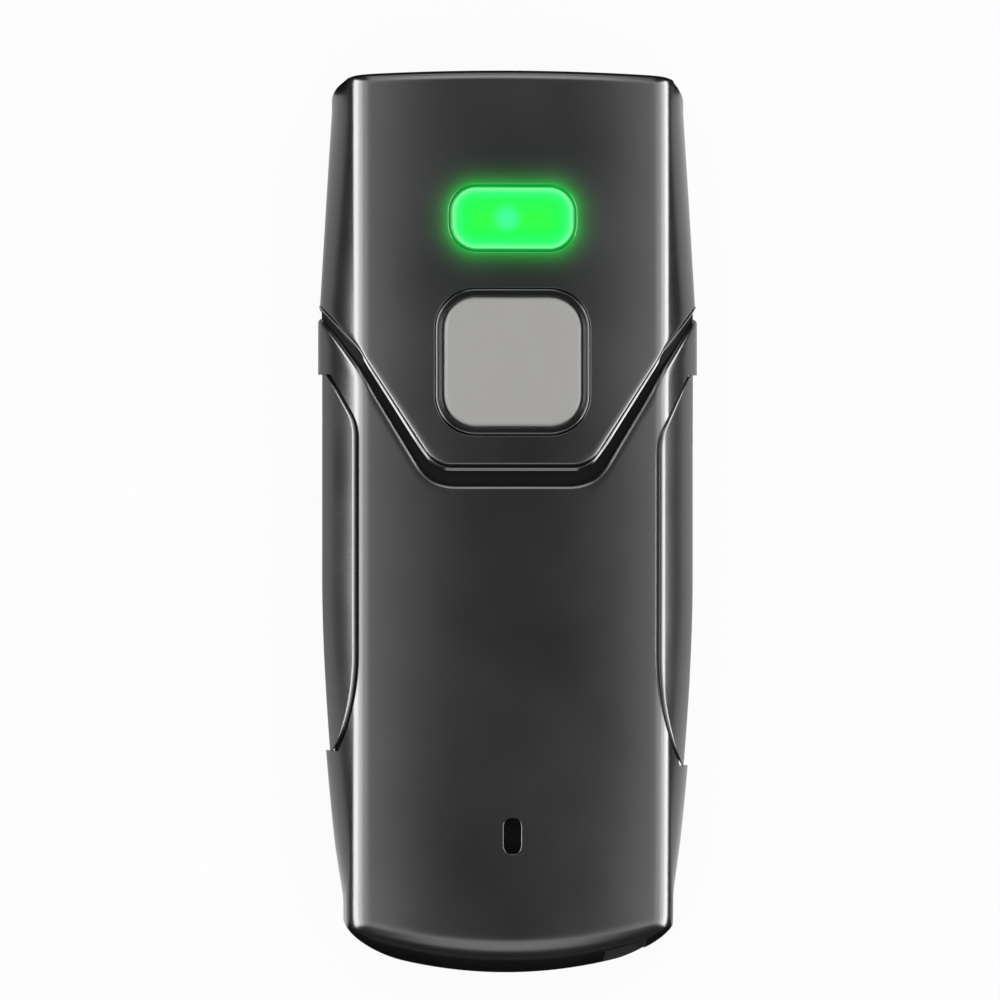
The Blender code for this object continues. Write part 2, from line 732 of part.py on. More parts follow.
def pilot_hole(x, y):
    """The blind hole that a case screw bites into."""
    return small_rod("pilot", x, y, SCREW_RADIUS + BOND, COVER_BASE - OVERCUT, COVER_BASE + SCREW_BITE + GAP)


def nose_cover():
    """The front cover, with the openings of the lens and of the button's bezel."""
    shell = bowl_solid("nose_cover", HEAD)
    cut(shell, hollow("inside", HEAD))
    ahead = NOSE_Y + OVERCUT
    front = nose_seam() + [(HALF + OVERCUT, ahead), (-HALF - OVERCUT, ahead)]
    common(shell, prism("front", front, 0.0, HEIGHT + OVERCUT))
    low, high = SEAM_HEIGHT, HEIGHT + OVERCUT
    cut(shell, prism("lens_hole", lens_outline(BOND), low, high))
    cut(shell, prism("bezel_hole", button_outline(BUTTON_GAP + BEZEL_RING + BOND), low, high))
    for side in (1, -1):
        x, y = side * FRONT_BOSS[0], FRONT_BOSS[1]
        unite(shell, cover_boss(HEAD, x, y))
        cut(shell, pilot_hole(x, y))
    finish_piece(shell, "satin_black_plastic")


def strap_box(name, grow=0.0):
    """The box at the tail's right corner that the strap pin is set in, grown all round."""
    x = HALF - STRAP_CENTRE_INSET
    half = STRAP_POCKET_WIDTH / 2 + STRAP_BLOCK_WALL + grow
    front = TAIL_Y + STRAP_PIN_FROM_TAIL + STRAP_POCKET_DEPTH / 2 + STRAP_BLOCK_WALL + grow
    return block(name, (x - half, TAIL_Y - grow, COVER_BASE - grow), (x + half, front, HEIGHT))


def strap_block():
    """The solid corner of the body cover that holds the strap pin."""
    inside = bowl_solid("strap_room", inset_bowl(BODY, WALL / 2))
    return common(strap_box("strap_block"), inside)


def strap_pocket():
    """The pocket round the strap pin, open through the tail."""
    x = HALF - STRAP_CENTRE_INSET
    middle = COVER_BASE + STRAP_BLOCK_WALL + STRAP_POCKET_HEIGHT / 2
    rear = TAIL_Y - OVERCUT
    front = TAIL_Y + STRAP_PIN_FROM_TAIL + STRAP_POCKET_DEPTH / 2
    half_y = (front - rear) / 2
    outline = rounded(STRAP_POCKET_WIDTH / 2, half_y, STRAP_POCKET_WIDTH / 2.2, x, rear + half_y)
    return prism("strap_pocket", outline, middle - STRAP_POCKET_HEIGHT / 2, middle + STRAP_POCKET_HEIGHT / 2)


def strap_pin_ends():
    """Lowest and highest point of the strap pin."""
    low = COVER_BASE + STRAP_BLOCK_WALL / 2
    return low, COVER_BASE + STRAP_BLOCK_WALL * 1.5 + STRAP_POCKET_HEIGHT


def body_cover():
    """The rear cover, with the grips' recesses, the sound slot and the strap pocket."""
    shell = bowl_solid("body_cover", BODY)
    cut(shell, hollow("inside", BODY))
    behind = TAIL_Y - OVERCUT
    rear = body_seam() + [(HALF + OVERCUT, behind), (-HALF - OVERCUT, behind)]
    common(shell, prism("rear", rear, 0.0, HEIGHT + OVERCUT))
    for side in (1, -1):
        outline = mirrored(grip_outline(GRIP_GROOVE), side)
        recess = prism("recess", outline, SEAM_HEIGHT - OVERCUT, HEIGHT + OVERCUT)
        depth = GRIP_SET + GRIP_THICK + BOND
        cut(shell, cut(recess, bowl_solid("recess_floor", inset_bowl(BODY, depth))))
        x, y = side * REAR_BOSS[0], REAR_BOSS[1]
        unite(shell, cover_boss(BODY, x, y))
        cut(shell, pilot_hole(x, y))
    slot = rounded(SLOT_WIDTH / 2, SLOT_LENGTH / 2, SLOT_WIDTH / 2.1, 0.0, SLOT_Y)
    cut(shell, prism("slot", slot, SEAM_HEIGHT, HEIGHT + OVERCUT))
    unite(shell, strap_block())
    cut(shell, strap_pocket())
    low, high = strap_pin_ends()
    x, y = HALF - STRAP_CENTRE_INSET, TAIL_Y + STRAP_PIN_FROM_TAIL
    cut(shell, small_rod("pin_hole", x, y, STRAP_PIN_RADIUS + BOND, low - BOND, high + BOND))
    small_rod("strap_pin", x, y, STRAP_PIN_RADIUS, low, high, "bright_steel")
    finish_piece(shell, "satin_black_plastic")


def seam_trim():
    """The gloss strip that lies sunk in the V-shaped seam."""
    strip = bowl_solid("seam_trim", replace(inset_bowl(BODY, TRIM_SET), base=COVER_BASE, land=LAND,
                                            rise=BODY.rise - TRIM_SET))
    cut(strip, bowl_solid("under", inset_bowl(BODY, TRIM_SET + TRIM_THICK)))
    band = nose_seam(BOND) + body_seam(BOND)[::-1]
    common(strip, prism("band", band, 0.0, HEIGHT + OVERCUT))
    finish_piece(strip, "gloss_black_plastic")


def side_grip(name, side):
    """A soft inlay that wraps the edge of the body cover."""
    outer = replace(inset_bowl(BODY, GRIP_SET), base=COVER_BASE, land=LAND, rise=BODY.rise - GRIP_SET)
    grip = bowl_solid(name, outer)
    cut(grip, bowl_solid("back", inset_bowl(BODY, GRIP_SET + GRIP_THICK)))
    common(grip, prism("region", mirrored(grip_outline(), side), 0.0, HEIGHT + OVERCUT))
    finish_piece(grip, "grip_plastic")


# Bottom shell and what closes it


def shell_boss(x, y):
    """A screw boss in the bottom shell, kept inside its outer face."""
    post = rod("boss", x, y, SHELL_BOSS_RADIUS, 0.0, SHELL_BASE - BOND)
    room = replace(inset_bowl(SHELL, WALL / 2), base=SHELL_BASE, rise=SHELL.rise - WALL / 2, land=SHELL_LAND)
    return common(post, bowl_solid("room", room))


def shell_lip():
    """The rim that stands up inside both covers and shuts the parting line."""
    outer = plan_outline(inset_bowl(SHELL, WALL - LIP_ROOT))
    inner = plan_outline(inset_bowl(SHELL, WALL - LIP_ROOT + LIP_THICK))
    low, high = SHELL_BASE - LIP_DEEP, COVER_BASE + LIP_RISE
    lip = cut(prism("lip", outer, low, high), prism("lip_room", inner, low - OVERCUT, high + OVERCUT))
    return cut(lip, strap_box("strap_space", GAP))


def nose_rake():
    """Slope of the bottom shell's front wall over the horizontal."""
    nose = SHELL.nose
    return wall_slope(nose.run, SHELL.rise, nose.radius, SHELL_LAND)


def window_place():
    """Matrix from the window's own frame, looking out along +Z, to the raked front wall."""
    slope = nose_rake()
    fall = SHELL_BASE - SHELL_LAND - WINDOW_CENTRE_HEIGHT
    centre = (0.0, SHELL.nose.tip - fall / math.tan(slope), WINDOW_CENTRE_HEIGHT)
    return Matrix.Translation(centre) @ Matrix.Rotation(slope - math.pi, 4, "X")


def in_window(piece):
    """Turns a piece from the window's own frame onto the front wall."""
    piece.matrix_world = window_place()
    return piece


def window_outline(grow=0.0):
    """The clear opening of the window, grown all round."""
    return grown(WINDOW_WIDTH / 2, WINDOW_HEIGHT / 2, WINDOW_CORNER, grow)


def usb_place():
    """Rear end, lower edge and upper edge of the charging socket."""
    top = BOARD_HEIGHT - BOND
    fall = SHELL_BASE - SHELL_LAND - (top - USB_HEIGHT / 2)
    slope = wall_slope(SHELL.tail.run, SHELL.rise, SHELL.tail.radius, SHELL_LAND)
    return SHELL.tail.tip + fall / math.tan(slope) + USB_SUNK, top - USB_HEIGHT, top


def along_y(name, outline, low, high, finish=None):
    """An outline of (x, z) points carried along Y from low to high."""
    return loft(name, [[(x, y, z) for x, z in outline] for y in (low, high)], finish)


def usb_outline(grow=0.0):
    """The charging socket's mouth, grown all round."""
    _, low, high = usb_place()
    half = USB_HEIGHT / 2 + grow
    return rounded(USB_WIDTH / 2 + grow, half, half * 0.9, 0.0, (low + high) / 2)


def bottom_shell():
    """The tray that carries the boards, with its bosses, posts, window opening and charging opening."""
    shell = bowl_solid("bottom_shell", SHELL)
    cut(shell, hollow("inside", SHELL, FLOOR))
    unite(shell, shell_lip())
    for side in (1, -1):
        for x, y in (FRONT_BOSS, REAR_BOSS):
            unite(shell, shell_boss(side * x, y))
        for y in (POST_FRONT_Y, POST_REAR_Y):
            unite(shell, rod("post", side * POST_X, y, POST_RADIUS, FLOOR / 2, BOARD_HEIGHT - BOND))
        unite(shell, rod("engine_post", side * engine_post_x(), engine_middle_y(), engine_post_radius(),
                         FLOOR / 2, bracket_ear_height() - BOND))
    for side in (1, -1):
        for x, y in (FRONT_BOSS, REAR_BOSS):
            cut(shell, small_rod("clear", side * x, y, SCREW_RADIUS + GAP, -OVERCUT, SEAM_HEIGHT + OVERCUT))
            cut(shell, rod("sink", side * x, y, SCREW_HEAD_RADIUS + GAP, -OVERCUT, screw_seat()))
        for y in (POST_FRONT_Y, POST_REAR_Y):
            cut(shell, small_rod("thread", side * POST_X, y, BOARD_SCREW_RADIUS + BOND,
                                 FLOOR + OVERCUT, BOARD_TOP))
        cut(shell, small_rod("thread", side * engine_post_x(), engine_middle_y(), ENGINE_SCREW_RADIUS + BOND,
                             FLOOR + OVERCUT, SEAM_HEIGHT))
    reach = WALL + OVERCUT
    opening = prism("window_hole", window_outline(FRAME_BORDER + BOND), -2 * reach, reach)
    cut(shell, in_window(opening))
    rear = usb_place()[0]
    cut(shell, along_y("usb_hole", usb_outline(GAP), TAIL_Y - OVERCUT, rear + WALL + OVERCUT))
    finish_piece(shell, "satin_black_plastic")


def screw_seat():
    """Height of the shoulder that a case screw's head pulls on."""
    return SCREW_SUNK + SCREW_HEAD_HEIGHT + BOND


def screw(name, x, y, seat, tip, head, shank, head_height, finish, up=1):
    """A screw with its head's underside on a seat. up is 1 for a head above its seat, -1 for one below."""
    top = seat + up * head_height
    made = rod(name, x, y, head, min(seat, top), max(seat, top))
    root = seat + up * head_height / 2
    unite(made, small_rod("shank", x, y, shank, min(root, tip), max(root, tip)))
    depth = min(DRIVE_DEPTH, head_height * 0.6)
    drive = ring_of(min(DRIVE_RADIUS, head * 0.5), x, y, 6)
    cut(made, prism("drive", drive, *sorted((top - up * depth, top + up * OVERCUT))))
    finish_piece(made, finish)


def case_screws():
    """The screws that go up through the bottom shell into the covers."""
    tip = COVER_BASE + SCREW_BITE
    places = [(side * x, y) for x, y in (FRONT_BOSS, REAR_BOSS) for side in (-1, 1)]
    for count, (x, y) in enumerate(places, start=1):
        screw(f"case_screw_{count}", x, y, screw_seat() - BOND, tip, SCREW_HEAD_RADIUS, SCREW_RADIUS,
              SCREW_HEAD_HEIGHT, "black_steel", -1)


# Window in the nose


def scan_window():
    """The frame, the pane and the gasket, stacked inwards along the front wall's normal."""
    frame_face = -FRAME_SUNK
    frame_back = frame_face - FRAME_THICK
    frame = prism("window_frame", window_outline(FRAME_BORDER), frame_back, frame_face)
    cut(frame, prism("clear", window_outline(), frame_back - OVERCUT, frame_face + OVERCUT))
    finish_piece(in_window(frame), "gloss_black_plastic")
    pane_face = frame_back - BOND
    pane_back = pane_face - WINDOW_THICK
    outline = window_outline(FRAME_BORDER - BOND)
    in_window(prism("scan_window", outline, pane_back, pane_face, "window_plastic"))
    gasket_face = pane_back - BOND
    gasket_back = gasket_face - GASKET_THICK
    gasket = prism("window_gasket", window_outline(FRAME_BORDER - BOND), gasket_back, gasket_face)
    inner = window_outline(FRAME_BORDER - BOND - GASKET_BORDER)
    cut(gasket, prism("clear", inner, gasket_back - OVERCUT, gasket_face + OVERCUT))
    finish_piece(in_window(gasket), "black_foam")


# Status lens, button and switch


def indicator():
    """The status lens, its light guide and the lamp chip under it."""
    room = LENS_FLANGE + BOND
    flange_top = roof_over(LENS_LENGTH / 2 + room, LENS_Y, LENS_WIDTH / 2 + room) - BOND
    lens = prism("indicator_lens", lens_outline(), flange_top - LENS_FLANGE, HEIGHT + OVERCUT)
    common(lens, bowl_solid("flush", HEAD))
    unite(lens, prism("flange", lens_outline(LENS_FLANGE), flange_top - LENS_FLANGE, flange_top))
    finish_piece(lens, "green_lens_plastic")
    led_top = BOARD_TOP + BOND + LED_HEIGHT
    chip("indicator_led", (LED_SIDE, LED_SIDE, LED_HEIGHT), 0.0, LENS_Y, "pale_plastic")
    guide_top = flange_top - LENS_FLANGE - BOND
    prism("light_guide", lens_outline(-GUIDE_MARGIN), led_top + BOND, guide_top, "clear_plastic")


def button_heights():
    """Top of the button's flange at rest, its underside, and the top of the cap."""
    reach = BUTTON_FLANGE + BUTTON_GAP
    flange_top = roof_over(BUTTON_WIDTH / 2 + reach, BUTTON_Y, BUTTON_LENGTH / 2 + reach) - GAP
    return flange_top, flange_top - BUTTON_FLANGE, cover_top(0.0, BUTTON_Y) + BUTTON_PROUD


def button_bezel():
    """The bevelled ring that lines the button's opening."""
    outer = button_outline(BUTTON_GAP + BEZEL_RING)
    inner = button_outline(BUTTON_GAP)
    low = roof_over(BUTTON_WIDTH / 2, BUTTON_Y, BUTTON_LENGTH / 2)
    ring = common(prism("button_bezel", outer, low, HEIGHT + OVERCUT), bowl_solid("flush", HEAD))
    cut(ring, prism("clear", inner, low - OVERCUT, HEIGHT + OVERCUT))
    lip = cover_top(0.0, BUTTON_Y)
    funnel = [[(x, y, lip - BEZEL_FALL) for x, y in inner]]
    funnel += [[(x, y, lip + OVERCUT) for x, y in button_outline(BUTTON_GAP + BEZEL_RING)]]
    cut(ring, loft("funnel", funnel))
    finish_piece(ring, "gloss_black_plastic")


def scan_button():
    """The thumb button: a flange under the cover and a cap with a soft edge, on its own press axis."""
    flange_top, flange_low, top = button_heights()
    layers = (
        (flange_low, BUTTON_FLANGE),
        (flange_top, BUTTON_FLANGE),
        (flange_top, 0.0),
        (top - BUTTON_EDGE, 0.0),
        (top - BUTTON_EDGE * 0.3, -BUTTON_EDGE * 0.3),
        (top, -BUTTON_EDGE),
    )
    loops = [[(x, y, z) for x, y in button_outline(grow)] for z, grow in layers]
    button = loft("scan_button", loops, "grey_button_plastic")
    return place_on_axis(button, (0.0, BUTTON_Y, flange_low))


def tact_switch():
    """The switch under the button: a body with a well, a snap dome in the well and a plunger over it."""
    base = BOARD_TOP + BOND
    top = base + SWITCH_HEIGHT
    well = base + SWITCH_BASE
    body = chip("switch_body", (SWITCH_SIDE, SWITCH_SIDE, SWITCH_HEIGHT), 0.0, BUTTON_Y, "chip_plastic")
    cut(body, rod("well", 0.0, BUTTON_Y, PLUNGER_RADIUS + GAP, well, top + OVERCUT))
    finish_piece(body, "chip_plastic")
    rim = well + BOND
    under = [(PLUNGER_RADIUS * r, rim + (DOME_HEIGHT - DOME_SHEET) * h) for r, h in DOME_LINE]
    turned("snap_dome", [(r, z + DOME_SHEET) for r, z in under], under, BUTTON_Y, "bright_steel")
    low = rim + DOME_HEIGHT + BOND
    high = button_heights()[1] - BOND
    plunger = rod("switch_plunger", 0.0, BUTTON_Y, PLUNGER_RADIUS, low, high, "pale_plastic")
    return place_on_axis(plunger, (0.0, BUTTON_Y, low))


def turned(name, upper, lower, y, finish):
    """A round sheet between an upper and a lower profile of (radius, height) points."""
    loops = [[(px, py, z) for px, py in ring_of(r, 0.0, y, SMALL_SIDES)] for r, z in lower[::-1] + upper]
    return loft(name, loops, finish)


# Main board


def board_outline():
    """The board from above: wide in the middle, with a tongue at each end between the bosses."""
    right = [
        (BOARD_REAR_HALF, BOARD_REAR),
        (BOARD_REAR_HALF, BOARD_WIDE_REAR),
        (BOARD_HALF, BOARD_WIDE_REAR),
        (BOARD_HALF, BOARD_WIDE_FRONT),
        (BOARD_FRONT_HALF, BOARD_WIDE_FRONT),
        (BOARD_FRONT_HALF, BOARD_FRONT),
    ]
    return right + [(-x, y) for x, y in reversed(right)]


def main_board():
    """The laminate board and the screws that hold it on its posts."""
    board = prism("main_board", board_outline(), BOARD_HEIGHT, BOARD_TOP)
    places = [(side * POST_X, y) for y in (POST_FRONT_Y, POST_REAR_Y) for side in (-1, 1)]
    for count, (x, y) in enumerate(places, start=1):
        cut(board, small_rod("hole", x, y, BOARD_SCREW_RADIUS + GAP,
                             BOARD_HEIGHT - OVERCUT, BOARD_TOP + OVERCUT))
        screw(f"board_screw_{count}", x, y, BOARD_TOP + BOND, BOARD_HEIGHT - SCREW_BITE, BOARD_SCREW_HEAD,
              BOARD_SCREW_RADIUS, SCREW_HEAD_HEIGHT, "bright_steel")
    finish_piece(board, "board_laminate")


def sounder():
    """The buzzer under the sound slot, and the dust mesh between them."""
    mesh_half = (SLOT_WIDTH / 2 + MESH_MARGIN, SLOT_LENGTH / 2 + MESH_MARGIN)
    mesh_top = roof_over(mesh_half[0], SLOT_Y, mesh_half[1]) - BOND
    mesh_low = mesh_top - MESH_THICK
    prism("sound_mesh", rounded(*mesh_half, MESH_MARGIN, 0.0, SLOT_Y), mesh_low, mesh_top, "black_foam")
    can = rod("buzzer", 0.0, SLOT_Y, BUZZER_RADIUS, BOARD_TOP + BOND, mesh_low - GAP)
    cut(can, small_rod("port", 0.0, SLOT_Y, SLOT_WIDTH / 2, mesh_low - GAP - OVERCUT, HEIGHT))
    finish_piece(can, "chip_plastic")


def board_chips():
    """The radio module and the processor between the switch and the sounder."""
    room = (BUTTON_Y - SWITCH_SIDE / 2) - (SLOT_Y + BUZZER_RADIUS)
    rear = SLOT_Y + BUZZER_RADIUS
    chip("radio_module", RADIO_SIZE, 0.0, rear + room / 3, "foil")
    chip("processor_chip", PROCESSOR_SIZE, 0.0, rear + room * 2 / 3, "chip_plastic")


def charging_socket():
    """The charging socket under the board's rear tongue, with its contact tongue."""
    rear, low, high = usb_place()
    front = rear + USB_DEPTH
    can = along_y("usb_socket", usb_outline(), rear, front)
    cut(can, along_y("mouth", usb_outline(-USB_SHEET), rear - OVERCUT, front - USB_SHEET))
    finish_piece(can, "bright_steel")
    root = front - USB_SHEET - BOND
    middle = (low + high) / 2
    block("usb_tongue", (-TONGUE_WIDTH / 2, root - TONGUE_DEPTH, middle - TONGUE_THICK / 2),
          (TONGUE_WIDTH / 2, root, middle + TONGUE_THICK / 2), "chip_plastic")


# Scan engine


def engine_front_y():
    """The engine's front face, set back from the raked window by a clear distance at its closest."""
    slope = nose_rake()
    stack = FRAME_SUNK + FRAME_THICK + WINDOW_THICK + GASKET_THICK + 2 * BOND
    fall = SHELL_BASE - SHELL_LAND - bracket_floor() - BRACKET_SHEET
    wall_y = SHELL.nose.tip - fall / math.tan(slope)
    return wall_y - stack / math.sin(slope) - ENGINE_FROM_WINDOW


def engine_middle_y():
    """The middle of the engine along the case."""
    return engine_front_y() - ENGINE_DEPTH / 2


def bracket_floor():
    """Height of the bracket's underside."""
    return FLOOR + BOND


def bracket_ear_height():
    """Height of the underside of the bracket's ears."""
    return bracket_floor() + BRACKET_SIDE_HEIGHT - BRACKET_SHEET


def bracket_half():
    """Half the outer width of the bracket's channel."""
    return ENGINE_WIDTH / 2 + BOND + BRACKET_SHEET


def bracket_reach():
    """Half the width over the bracket's ears, clear of the shell's sloping wall."""
    return shell_half(engine_front_y()) - WALL - BRACKET_ROOM


def engine_post_x():
    """Where the bracket's screws are, from the middle."""
    return (bracket_half() + bracket_reach()) / 2


def engine_post_radius():
    """Radius of the posts under the bracket's ears, a gap less than half an ear."""
    return (bracket_reach() - bracket_half()) / 2 - GAP


def engine_bracket():
    """A folded channel under the engine, with an ear on each side screwed to a post."""
    half, floor = bracket_half(), bracket_floor()
    top = floor + BRACKET_SIDE_HEIGHT
    ear = bracket_reach()
    ear_low = bracket_ear_height()
    inner = half - BRACKET_SHEET
    right = [(half, floor), (half, ear_low), (ear, ear_low), (ear, top)]
    right += [(inner, top), (inner, floor + BRACKET_SHEET)]
    outline = right + [(-x, z) for x, z in reversed(right)]
    front = engine_front_y()
    bracket = along_y("engine_bracket", outline, front - ENGINE_DEPTH + GAP, front - GAP)
    for count, side in enumerate((-1, 1), start=1):
        x, y = side * engine_post_x(), engine_middle_y()
        cut(bracket, small_rod("hole", x, y, ENGINE_SCREW_RADIUS + GAP, ear_low - OVERCUT, top + OVERCUT))
        screw(f"engine_screw_{count}", x, y, top + BOND, ear_low - SCREW_BITE, BOARD_SCREW_HEAD,
              ENGINE_SCREW_RADIUS, SCREW_HEAD_HEIGHT, "bright_steel")
    finish_piece(bracket, "bright_steel")


def scan_engine():
    """The engine's body with its camera lens, its lamp and its aimer set into the front."""
    front = engine_front_y()
    base = bracket_floor() + BRACKET_SHEET + BOND
    middle = base + ENGINE_HEIGHT / 2
    body = block("engine_body", (-ENGINE_WIDTH / 2, front - ENGINE_DEPTH, base),
                 (ENGINE_WIDTH / 2, front, base + ENGINE_HEIGHT))
    room = ENGINE_WIDTH - 2 * (EYE_RADIUS + LAMP_RADIUS + AIMER_RADIUS)
    space = room / 4
    x = -ENGINE_WIDTH / 2
    eyes = (
        ("engine_eye", EYE_RADIUS, "optic_glass"),
        ("engine_aimer", AIMER_RADIUS, "optic_glass"),
        ("engine_lamp", LAMP_RADIUS, "clear_plastic"),
    )
    for name, radius, finish in eyes:
        x += space + radius
        seat = ring_of(radius + BOND, x, middle)
        cut(body, along_y("seat", seat, front - EYE_DEEP - BOND, front + OVERCUT))
        along_y(name, ring_of(radius, x, middle), front - EYE_DEEP, front + EYE_PROUD, finish)
        x += radius
    finish_piece(body, "chip_plastic")


# Battery, leads and ribbon


def battery_span():
    """Rear and front end of the battery, between the rear bosses and the engine."""
    rear = BOARD_WIDE_REAR + BATTERY_ROOM
    front = engine_front_y() - ENGINE_DEPTH - SOCKET_SIZE[1] - RIBBON_SOCKET_SIZE[1] - 8 * BATTERY_ROOM
    return rear, front


def battery():
    """The cell on its foam pad, clear of the board's posts."""
    rear, front = battery_span()
    half_x = POST_X - POST_RADIUS - BATTERY_ROOM
    half_y, middle = (front - rear) / 2, (front + rear) / 2
    pad_low = FLOOR + BOND
    pad = rounded(half_x - BATTERY_CORNER, half_y - BATTERY_CORNER, BATTERY_CORNER, 0.0, middle)
    prism("battery_pad", pad, pad_low, pad_low + PAD_THICK, "black_foam")
    low = pad_low + PAD_THICK + BOND
    cell = rounded(half_x, half_y, BATTERY_CORNER, 0.0, middle)
    prism("battery_cell", cell, low, low + BATTERY_HEIGHT, "foil")


def smooth_path(points, steps):
    """Points along a smooth curve through a few given ones."""
    ends = [points[0] * 2 - points[1]] + points + [points[-1] * 2 - points[-2]]
    found = []
    for a, b, c, d in zip(ends, ends[1:], ends[2:], ends[3:]):
        for i in range(steps):
            t = i / steps
            found.append(0.5 * (2 * b + (c - a) * t + (2 * a - 5 * b + 4 * c - d) * t * t
                                + (3 * b - a - 3 * c + d) * t ** 3))
    return found + [points[-1]]


def battery_leads():
    """The two leads from the battery's front end up to the socket under the board."""
    front = battery_span()[1]
    out = front + BOND
    start_z = FLOOR + 2 * BOND + PAD_THICK + BATTERY_HEIGHT * 0.7
    socket_y = front + 3 * BATTERY_ROOM + SOCKET_SIZE[1] / 2
    socket_low = BOARD_HEIGHT - BOND - SOCKET_SIZE[2]
    chip("battery_socket", SOCKET_SIZE, 0.0, socket_y, "pale_plastic", socket_low)
    for name, side, finish in (("battery_lead_red", -1, "red_wire"), ("battery_lead_black", 1, "black_wire")):
        x = side * LEAD_SPACING / 2
        route = [
            Vector((x, out, start_z)),
            Vector((x, (out + socket_y) / 2, start_z)),
            Vector((x, socket_y, (start_z + socket_low) / 2 + LEAD_RADIUS)),
            Vector((x, socket_y, socket_low - BOND)),
        ]
        lead_tube(name, smooth_path(route, 3), finish)


def lead_tube(name, points, finish):
    """A round wire along points, with its ends closed."""
    curve = bpy.data.curves.new(name, "CURVE")
    curve.dimensions = "3D"
    curve.bevel_depth = LEAD_RADIUS
    curve.bevel_resolution = 2
    curve.use_fill_caps = True
    spline = curve.splines.new("POLY")
    spline.points.add(len(points) - 1)
    for knot, point in zip(spline.points, points):
        knot.co = (*point, 1.0)
    made = bpy.data.objects.new(name, curve)
    bpy.context.scene.collection.objects.link(made)
    curve.materials.append(material(finish))


def engine_ribbon():
    """The flat cable from the engine's back, round a soft bend, up to its socket under the board."""
    back = engine_front_y() - ENGINE_DEPTH
    socket_y = back - BATTERY_ROOM - RIBBON_SOCKET_SIZE[1] / 2
    socket_low = BOARD_HEIGHT - BOND - RIBBON_SOCKET_SIZE[2]
    chip("ribbon_socket", RIBBON_SOCKET_SIZE, 0.0, socket_y, "pale_plastic", socket_low)
    start_z = bracket_floor() + BRACKET_SHEET + BOND + ENGINE_HEIGHT / 3
    route = [Vector((back - BOND, start_z)), Vector(((back + socket_y) / 2, start_z)),
             Vector((socket_y, (start_z + socket_low) / 2)), Vector((socket_y, socket_low - BOND))]
    line = smooth_path(route, 3)
    sides = [[], []]
    for i, point in enumerate(line):
        along = (line[min(i + 1, len(line) - 1)] - line[max(i - 1, 0)]).normalized()
        across = Vector((-along.y, along.x)) * RIBBON_THICK / 2
        sides[0].append(point + across)
        sides[1].append(point - across)
    outline = sides[0] + sides[1][::-1]
    half = RIBBON_WIDTH / 2
    loft("engine_ribbon", [[(x, p.x, p.y) for p in outline] for x in (-half, half)], "polyimide")


def group(name, place, members):
    """An empty that carries the pieces of one rigid body."""
    holder = bpy.data.objects.new(name, None)
    holder.location = place
    bpy.context.scene.collection.objects.link(holder)
    bpy.context.view_layer.update()
    for piece in members:
        piece.parent = holder
        piece.matrix_parent_inverse = holder.matrix_world.inverted()


def main():
    """Builds every piece and groups the pieces by the body that they move with."""
    clear_scene()
    bottom_shell()
    nose_cover()
    body_cover()
    seam_trim()
    side_grip("grip_left", -1)
    side_grip("grip_right", 1)
    case_screws()
    scan_window()
    indicator()
    button_bezel()
    main_board()
    sounder()
    board_chips()
    charging_socket()
    engine_bracket()
    scan_engine()
    battery()
    battery_leads()
    engine_ribbon()
    button = scan_button()
    plunger = tact_switch()
    fixed = [piece for piece in bpy.data.objects if piece not in (button, plunger)]
    group("housing_body", (0.0, 0.0, 0.0), fixed)
    group("trigger_body", button.location.copy(), [button])
    group("plunger_body", plunger.location.copy(), [plunger])


main()
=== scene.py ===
# %% [markdown]
# # A pocket barcode scanner, dressed for its photograph
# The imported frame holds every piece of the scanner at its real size: the case, the thumb button that
# slides, the switch under it, and what the case hides. This lesson gives it its looks. The solids of the
# case are replaced by fine surfaces worked out with numpy. The pieces inside keep their solids and get a
# finish.

# %% Load the frame
import functools
import json
import math
from dataclasses import dataclass, replace

import bmesh
import bpy
import numpy as np
from mathutils import Matrix, Vector


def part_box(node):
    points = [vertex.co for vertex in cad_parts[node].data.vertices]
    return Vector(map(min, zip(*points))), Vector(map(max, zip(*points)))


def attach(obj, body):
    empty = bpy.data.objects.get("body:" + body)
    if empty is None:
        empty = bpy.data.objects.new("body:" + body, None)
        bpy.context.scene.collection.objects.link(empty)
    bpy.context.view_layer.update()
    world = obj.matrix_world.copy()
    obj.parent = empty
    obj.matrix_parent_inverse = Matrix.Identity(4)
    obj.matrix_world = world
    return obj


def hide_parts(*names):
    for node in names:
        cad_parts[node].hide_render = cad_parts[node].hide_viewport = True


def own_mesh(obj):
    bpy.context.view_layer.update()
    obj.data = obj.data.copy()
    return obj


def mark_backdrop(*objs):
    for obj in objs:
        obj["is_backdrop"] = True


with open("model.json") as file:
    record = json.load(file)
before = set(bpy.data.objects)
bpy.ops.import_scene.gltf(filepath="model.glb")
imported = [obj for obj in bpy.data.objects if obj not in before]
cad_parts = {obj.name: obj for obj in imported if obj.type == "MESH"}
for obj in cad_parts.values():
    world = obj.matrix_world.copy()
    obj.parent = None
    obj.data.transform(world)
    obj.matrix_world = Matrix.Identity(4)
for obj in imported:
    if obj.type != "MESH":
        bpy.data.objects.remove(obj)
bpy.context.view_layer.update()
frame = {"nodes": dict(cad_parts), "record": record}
MM = 0.001
SLOT_OF = {subpart["node"]: subpart["material_slot"] for subpart in frame["record"]["subparts"]}
print("nodes in the frame:", len(frame["nodes"]))

# %% [markdown]
# ## Camera
# The photograph looks down on the scanner from far away with a long lens, a few degrees off the vertical.
# The lens and the distance are set so that one pixel of a 1000 pixel image is the right share of a
# millimetre at the height of the case's parting line.

# %% Camera
IMAGE_MIDDLE = Vector((-0.87 * MM, 2.51 * MM, 17.5 * MM))
VIEW_DISTANCE = 600 * MM
VIEW_TILT = math.radians(4.0)
SENSOR_WIDTH = 36.0
FOCAL_LENGTH = 198.0


